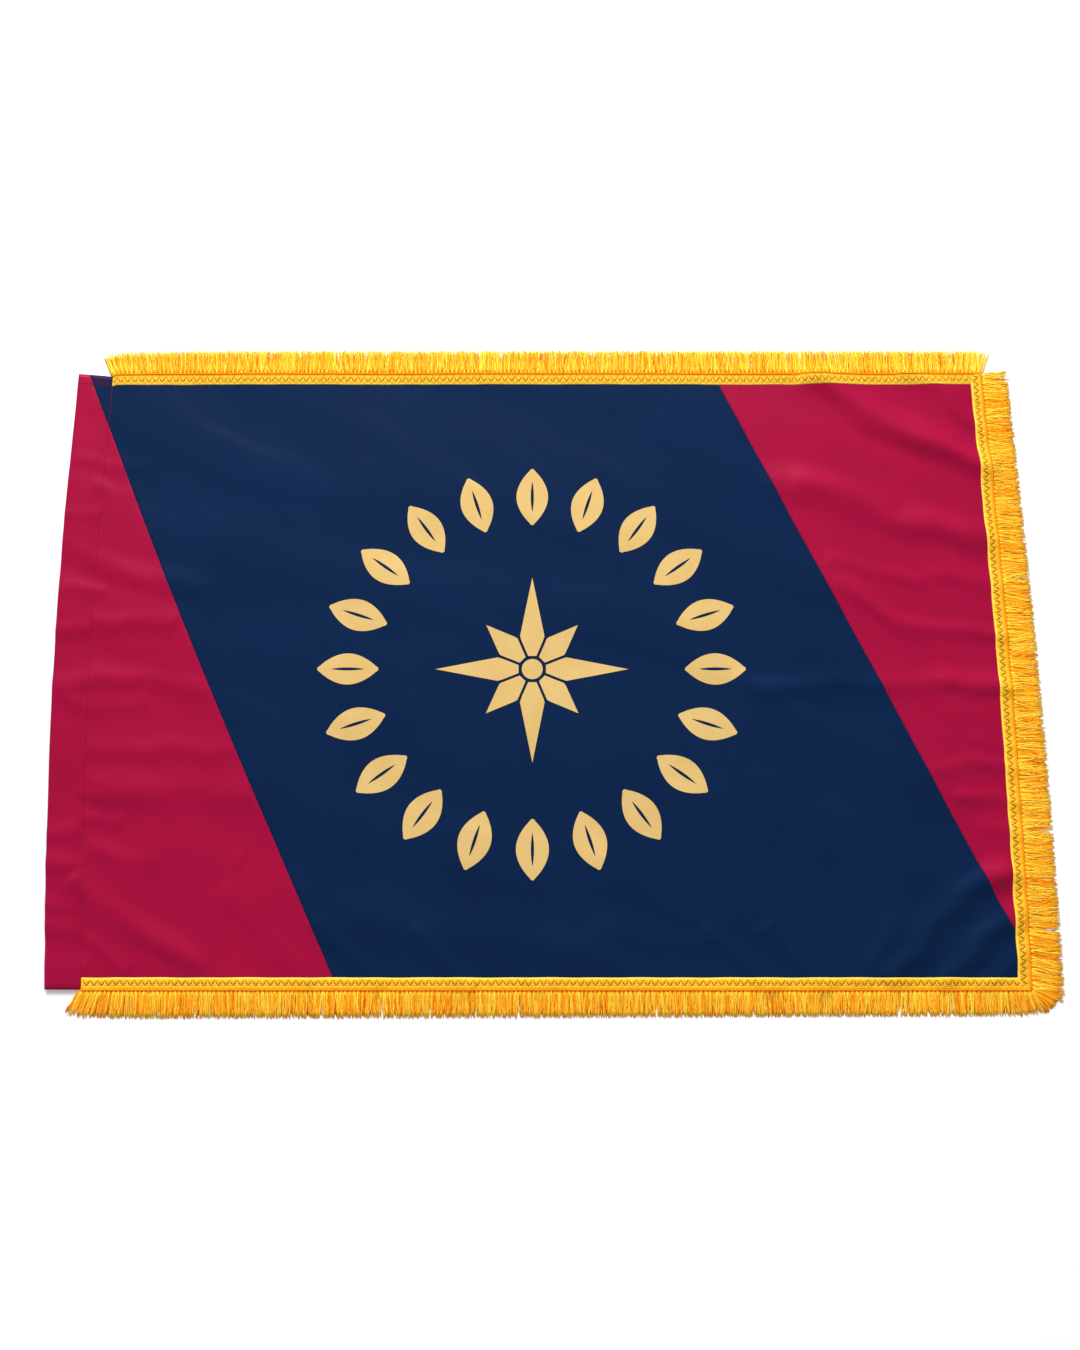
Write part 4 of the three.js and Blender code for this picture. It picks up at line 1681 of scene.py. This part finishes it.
@dataclass
class Emblem:
    """A ring of leaves round an eight-point star, cut from cream twill.

    Attributes:
        layout: the flag's edges.
        drape: the surface that the cloth follows.
        lift: height of the patches' underside over the cloth's, in metres.
        thickness: of a patch.
        vein: width of the slit down a leaf.
        groove: half the width of the gap between two points of the star, at its middle.
        leaves: how many leaves the ring has.
        points: how many points the star has.
    """

    layout: Layout
    drape: Drape
    lift: float = 0.72 * MM
    thickness: float = 0.3 * MM
    vein: float = 3 * MM
    groove: float = 1.3 * MM
    leaves: int = 20
    points: int = 8

    def finish_patch(self, name: str, bm: BMesh, turn: float, node: str) -> None:
        """Turns a patch about the emblem's centre and lays it.

        Args:
            name: the piece's name.
            bm: the patch, drawn upright with the emblem's centre at the origin.
            turn: how far it is turned clockwise, in radians.
            node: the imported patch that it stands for.
        """
        bmesh.ops.rotate(bm, cent=(0, 0, 0), matrix=Matrix.Rotation(-turn, 3, "Z"), verts=bm.verts)
        bmesh.ops.translate(bm, vec=(*self.layout.emblem, self.lift), verts=bm.verts)
        place_vertices(bm, self.drape.lay(coordinates(bm.verts)))
        bmesh.ops.recalc_face_normals(bm, faces=bm.faces)
        if sum(face.normal.z for face in bm.faces) < 0:
            bmesh.ops.reverse_faces(bm, faces=bm.faces)
        piece = add_piece(name, to_mesh(name, bm), Finish.CREAM, node, self.thickness)
        piece.data.shade_flat()
        soften = piece.modifiers.new("cut_edge", "BEVEL")
        soften.width = 0.05 * MM
        soften.segments = 1

    def build_leaf(self, number: int) -> None:
        """Cuts one leaf: a pointed oval with a slit for its vein.

        It starts as a grid from -1 to 1 across and 0 to 1 along. The columns beside the middle
        become the slit's sides, a quarter of the way out, and the rest spread to the outline.

        Args:
            number: which leaf, counted clockwise from 0 at the top.
        """
        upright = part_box("emblem_leaf_01")
        length = upright[1][1] - upright[0][1]
        width = upright[1][0] - upright[0][0]
        inner = upright[0][1] - self.layout.emblem[1]
        columns, rows = 8, 22
        bm = flat_grid((-1, 0), (2, 1), (2 / columns, 1 / rows))
        middles = {face: face.calc_center_median() for face in bm.faces}
        slit = [face for face, at in middles.items() if abs(at.x) < 0.3 and abs(at.y - 0.5) < 0.27]
        bmesh.ops.delete(bm, geom=slit, context="FACES")
        points = coordinates(bm.verts)
        across, along = points[:, 0], points[:, 1]
        half = width / 2 * np.sin(np.pi * np.clip(along, 0.012, 0.988)) ** 0.8
        open_vein = self.vein / 2 * np.sin(np.pi * np.clip((along - 0.5) / 0.55 + 0.5, 0, 1)) ** 0.8
        blade = np.clip(np.abs(across) - 0.25, 0, None) / 0.75
        place = np.sign(across) * (open_vein + (half - open_vein) * blade)
        points[:, 0] = np.where(np.abs(across) < 0.01, 0, place)
        points[:, 1] = inner + along * length
        place_vertices(bm, points)
        bmesh.ops.remove_doubles(bm, verts=bm.verts, dist=0.02 * MM)
        turn = math.tau * number / self.leaves
        self.finish_patch(f"leaf_patch_{number + 1:02d}", bm, turn, f"emblem_leaf_{number + 1:02d}")

    def build_star_point(self, number: int) -> None:
        """Cuts one point of the star: a kite whose lower sides follow the grooves beside it.

        Args:
            number: which point, counted clockwise from 0 at the top.
        """
        half = math.pi / self.points
        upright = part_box("star_point_1")
        hub = upright[0][1] - self.layout.emblem[1]
        shoulder_x = (upright[1][0] - upright[0][0]) / 2
        long_tip = upright[1][1] - self.layout.emblem[1]
        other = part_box("star_point_2")
        short_tip = (other[1][0] - self.layout.emblem[0]) * math.sqrt(2)
        inset = self.groove / math.sin(half)
        shoulder = shoulder_x / math.tan(half) + inset
        tip = short_tip if number % 2 else long_tip
        bm = flat_grid((-1, 0), (2, 1), (0.25, 1 / 16))
        points = coordinates(bm.verts)
        y = hub + points[:, 1] * (tip - hub)
        rising = (y - inset) * math.tan(half)
        falling = shoulder_x * (tip - y) / (tip - shoulder)
        points[:, 0] *= np.maximum(np.minimum(rising, falling), 0.02 * MM)
        points[:, 1] = y
        place_vertices(bm, points)
        bmesh.ops.remove_doubles(bm, verts=bm.verts, dist=0.03 * MM)
        turn = math.tau * number / self.points
        self.finish_patch(f"star_patch_{number + 1}", bm, turn, f"star_point_{number + 1}")

    def build_disc(self) -> None:
        """Cuts the disc at the star's centre."""
        low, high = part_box("star_centre")
        bm = bmesh.new()
        bmesh.ops.create_circle(bm, cap_ends=True, segments=48, radius=(high[0] - low[0]) / 2)
        bmesh.ops.inset_region(bm, faces=bm.faces, thickness=1 * MM)
        self.finish_patch("star_disc", bm, 0.0, "star_centre")

    def build(self) -> None:
        """Cuts and lays the whole emblem."""
        for number in range(self.leaves):
            self.build_leaf(number)
        for number in range(self.points):
            self.build_star_point(number)
        self.build_disc()


# ---- The pole sleeve's leather --------------------------------------------------------------------


@dataclass
class SleeveTabs:
    """The leather tabs that lie flat inside the sleeve, each with a hole for a screw.

    Attributes:
        drape: the surface that the cloth follows.
        lift: height of a tab's underside over the drape, in metres.
        thickness: of the leather.
        hole: radius of the screw hole.
    """

    drape: Drape
    lift: float = 0.5 * MM
    thickness: float = 0.6 * MM
    hole: float = 2.25 * MM

    def build_tab(self, end: str) -> None:
        """Cuts one tab: a ring of faces between its hole and its rounded outline.

        Args:
            end: "top" or "bottom".
        """
        node = "leather_tab_" + end
        low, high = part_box(node)
        bm = bmesh.new()
        for ring in (1, 2, 3):
            bmesh.ops.create_circle(bm, segments=32, radius=ring * self.hole)
        bmesh.ops.bridge_loops(bm, edges=bm.edges)
        points = coordinates(bm.verts)
        reach = np.hypot(points[:, 0], points[:, 1])
        turn = np.arctan2(points[:, 1], points[:, 0])
        half = np.array((high[0] - low[0], high[1] - low[1])) / 2
        outline = (np.abs(np.cos(turn) / half[0]) ** 6 + np.abs(np.sin(turn) / half[1]) ** 6) ** (-1 / 6)
        share = (reach / self.hole - 1) / 2
        reach = self.hole + (outline - self.hole) * share
        x, y = middle_of(node)
        points[:, 0] = x + reach * np.cos(turn)
        points[:, 1] = y + reach * np.sin(turn)
        points[:, 2] = self.lift
        place_vertices(bm, self.drape.lay(points))
        bm.normal_update()
        bmesh.ops.reverse_faces(bm, faces=[face for face in bm.faces if face.normal.z < 0])
        name = end + "_sleeve_tab"
        add_piece(name, to_mesh(name, bm), Finish.LEATHER, node, self.thickness)

    def build(self) -> None:
        """Cuts both tabs."""
        for end in ("top", "bottom"):
            self.build_tab(end)


# ---- Studio ---------------------------------------------------------------------------------------


@dataclass
class Studio:
    """The floor, the light and the camera.

    Attributes:
        layout: the flag's edges.
        distance: from the camera to the point that it looks at, in metres.
        tilt: how far the camera leans back from straight down, in degrees.
        aim: the point that it looks at, in millimetres from the cloth's centre.
        lens: focal length for a frame whose longer side is 36 mm.
    """

    layout: Layout
    distance: float = 1.4883
    tilt: float = 11.864
    aim: tuple[float, float] = (7.4, -5.6)
    lens: float = 40.85

    def build_floor(self) -> None:
        """Lays a pale floor under the flag."""
        bm = bmesh.new()
        bmesh.ops.create_grid(bm, x_segments=1, y_segments=1, size=6)
        bmesh.ops.translate(bm, vec=(0, 0, -0.02 * MM), verts=bm.verts)
        mesh = to_mesh("floor", bm)
        g = Graph("white_sweep")
        g.feed(g.shader, {"Base Color": linear("FAFAFA"), "Roughness": 0.9, "Specular IOR Level": 0.1})
        mesh.materials.append(g.material)
        floor = put_in_scene("floor", mesh)

    def add_light(self, name: str, place: tuple[float, float, float], size: float, power: float) -> None:
        """Hangs a square soft light that points at the flag.

        Args:
            name: its name.
            place: where it is, in metres.
            size: its side.
            power: in watts.
        """
        light = bpy.data.lights.new(name, "AREA")
        light.size = size
        light.energy = power
        lamp = put_in_scene(name, light)
        lamp.location = place
        lamp.rotation_euler = (-Vector(place)).to_track_quat("-Z", "Y").to_euler()

    def build_light(self) -> None:
        """Sets an even white surround and a large soft key from beyond the top edge."""
        world = bpy.data.worlds.new("surround")
        world.use_nodes = True
        surround = world.node_tree.nodes["Background"]
        surround.inputs["Color"].default_value = (1.0, 1.0, 1.0, 1.0)
        surround.inputs["Strength"].default_value = 0.6
        bpy.context.scene.world = world
        self.add_light("window", (-1.5, 4.5, 2.6), 2.0, 300.0)
        self.add_light("key", (0.0, 1.35, 0.85), 0.9, 13.0)

    def build_camera(self) -> None:
        """Stands the camera over the flag, near its lower edge."""
        cx, cy = self.layout.middle
        lean = math.radians(self.tilt)
        aim = Vector((cx + self.aim[0] * MM, cy + self.aim[1] * MM, 0))
        camera = put_in_scene("camera", bpy.data.cameras.new("camera"))
        camera.data.lens = self.lens
        camera.data.sensor_width = 36
        camera.location = aim + Vector((0, -math.sin(lean), math.cos(lean))) * self.distance
        camera.rotation_euler = (lean, 0, 0)
        bpy.context.scene.camera = camera

    def build(self) -> None:
        """Sets the stage."""
        self.build_camera()
        self.build_floor()
        self.build_light()
        bpy.context.scene.view_settings.view_transform = "Standard"


# ---- Assembly -------------------------------------------------------------------------------------


def main() -> None:
    """Builds the flag and its stage."""
    logging.basicConfig(level=logging.INFO, format="%(message)s")
    layout = Layout.from_frame()
    drape = Drape(layout, FOLDS)
    Studio(layout).build()
    cloth = FlagCloth(layout, drape)
    cloth.build()
    Stitching(cloth).build()
    SleeveTabs(drape).build()
    Emblem(layout, drape).build()
    FringeEdge(
        Edge.TOP, layout, drape, reach=25.7 * MM, growth=0.0, tone=0.72, wander=7,
        start_lean=(-21, 60), end_lean=(17, 9),
    ).build()
    FringeEdge(
        Edge.FLY, layout, drape, reach=27.9 * MM, growth=4 * MM, tone=0.79, wander=11,
        start_lean=(-6, 6), end_lean=(17, 30),
    ).build()
    FringeEdge(
        Edge.BOTTOM, layout, drape, reach=26.1 * MM, growth=-2.5 * MM, tone=0.76, wander=5.5,
        start_lean=(-31, 18), end_lean=(22, 12),
    ).build()


if __name__ == "__main__":
    main()
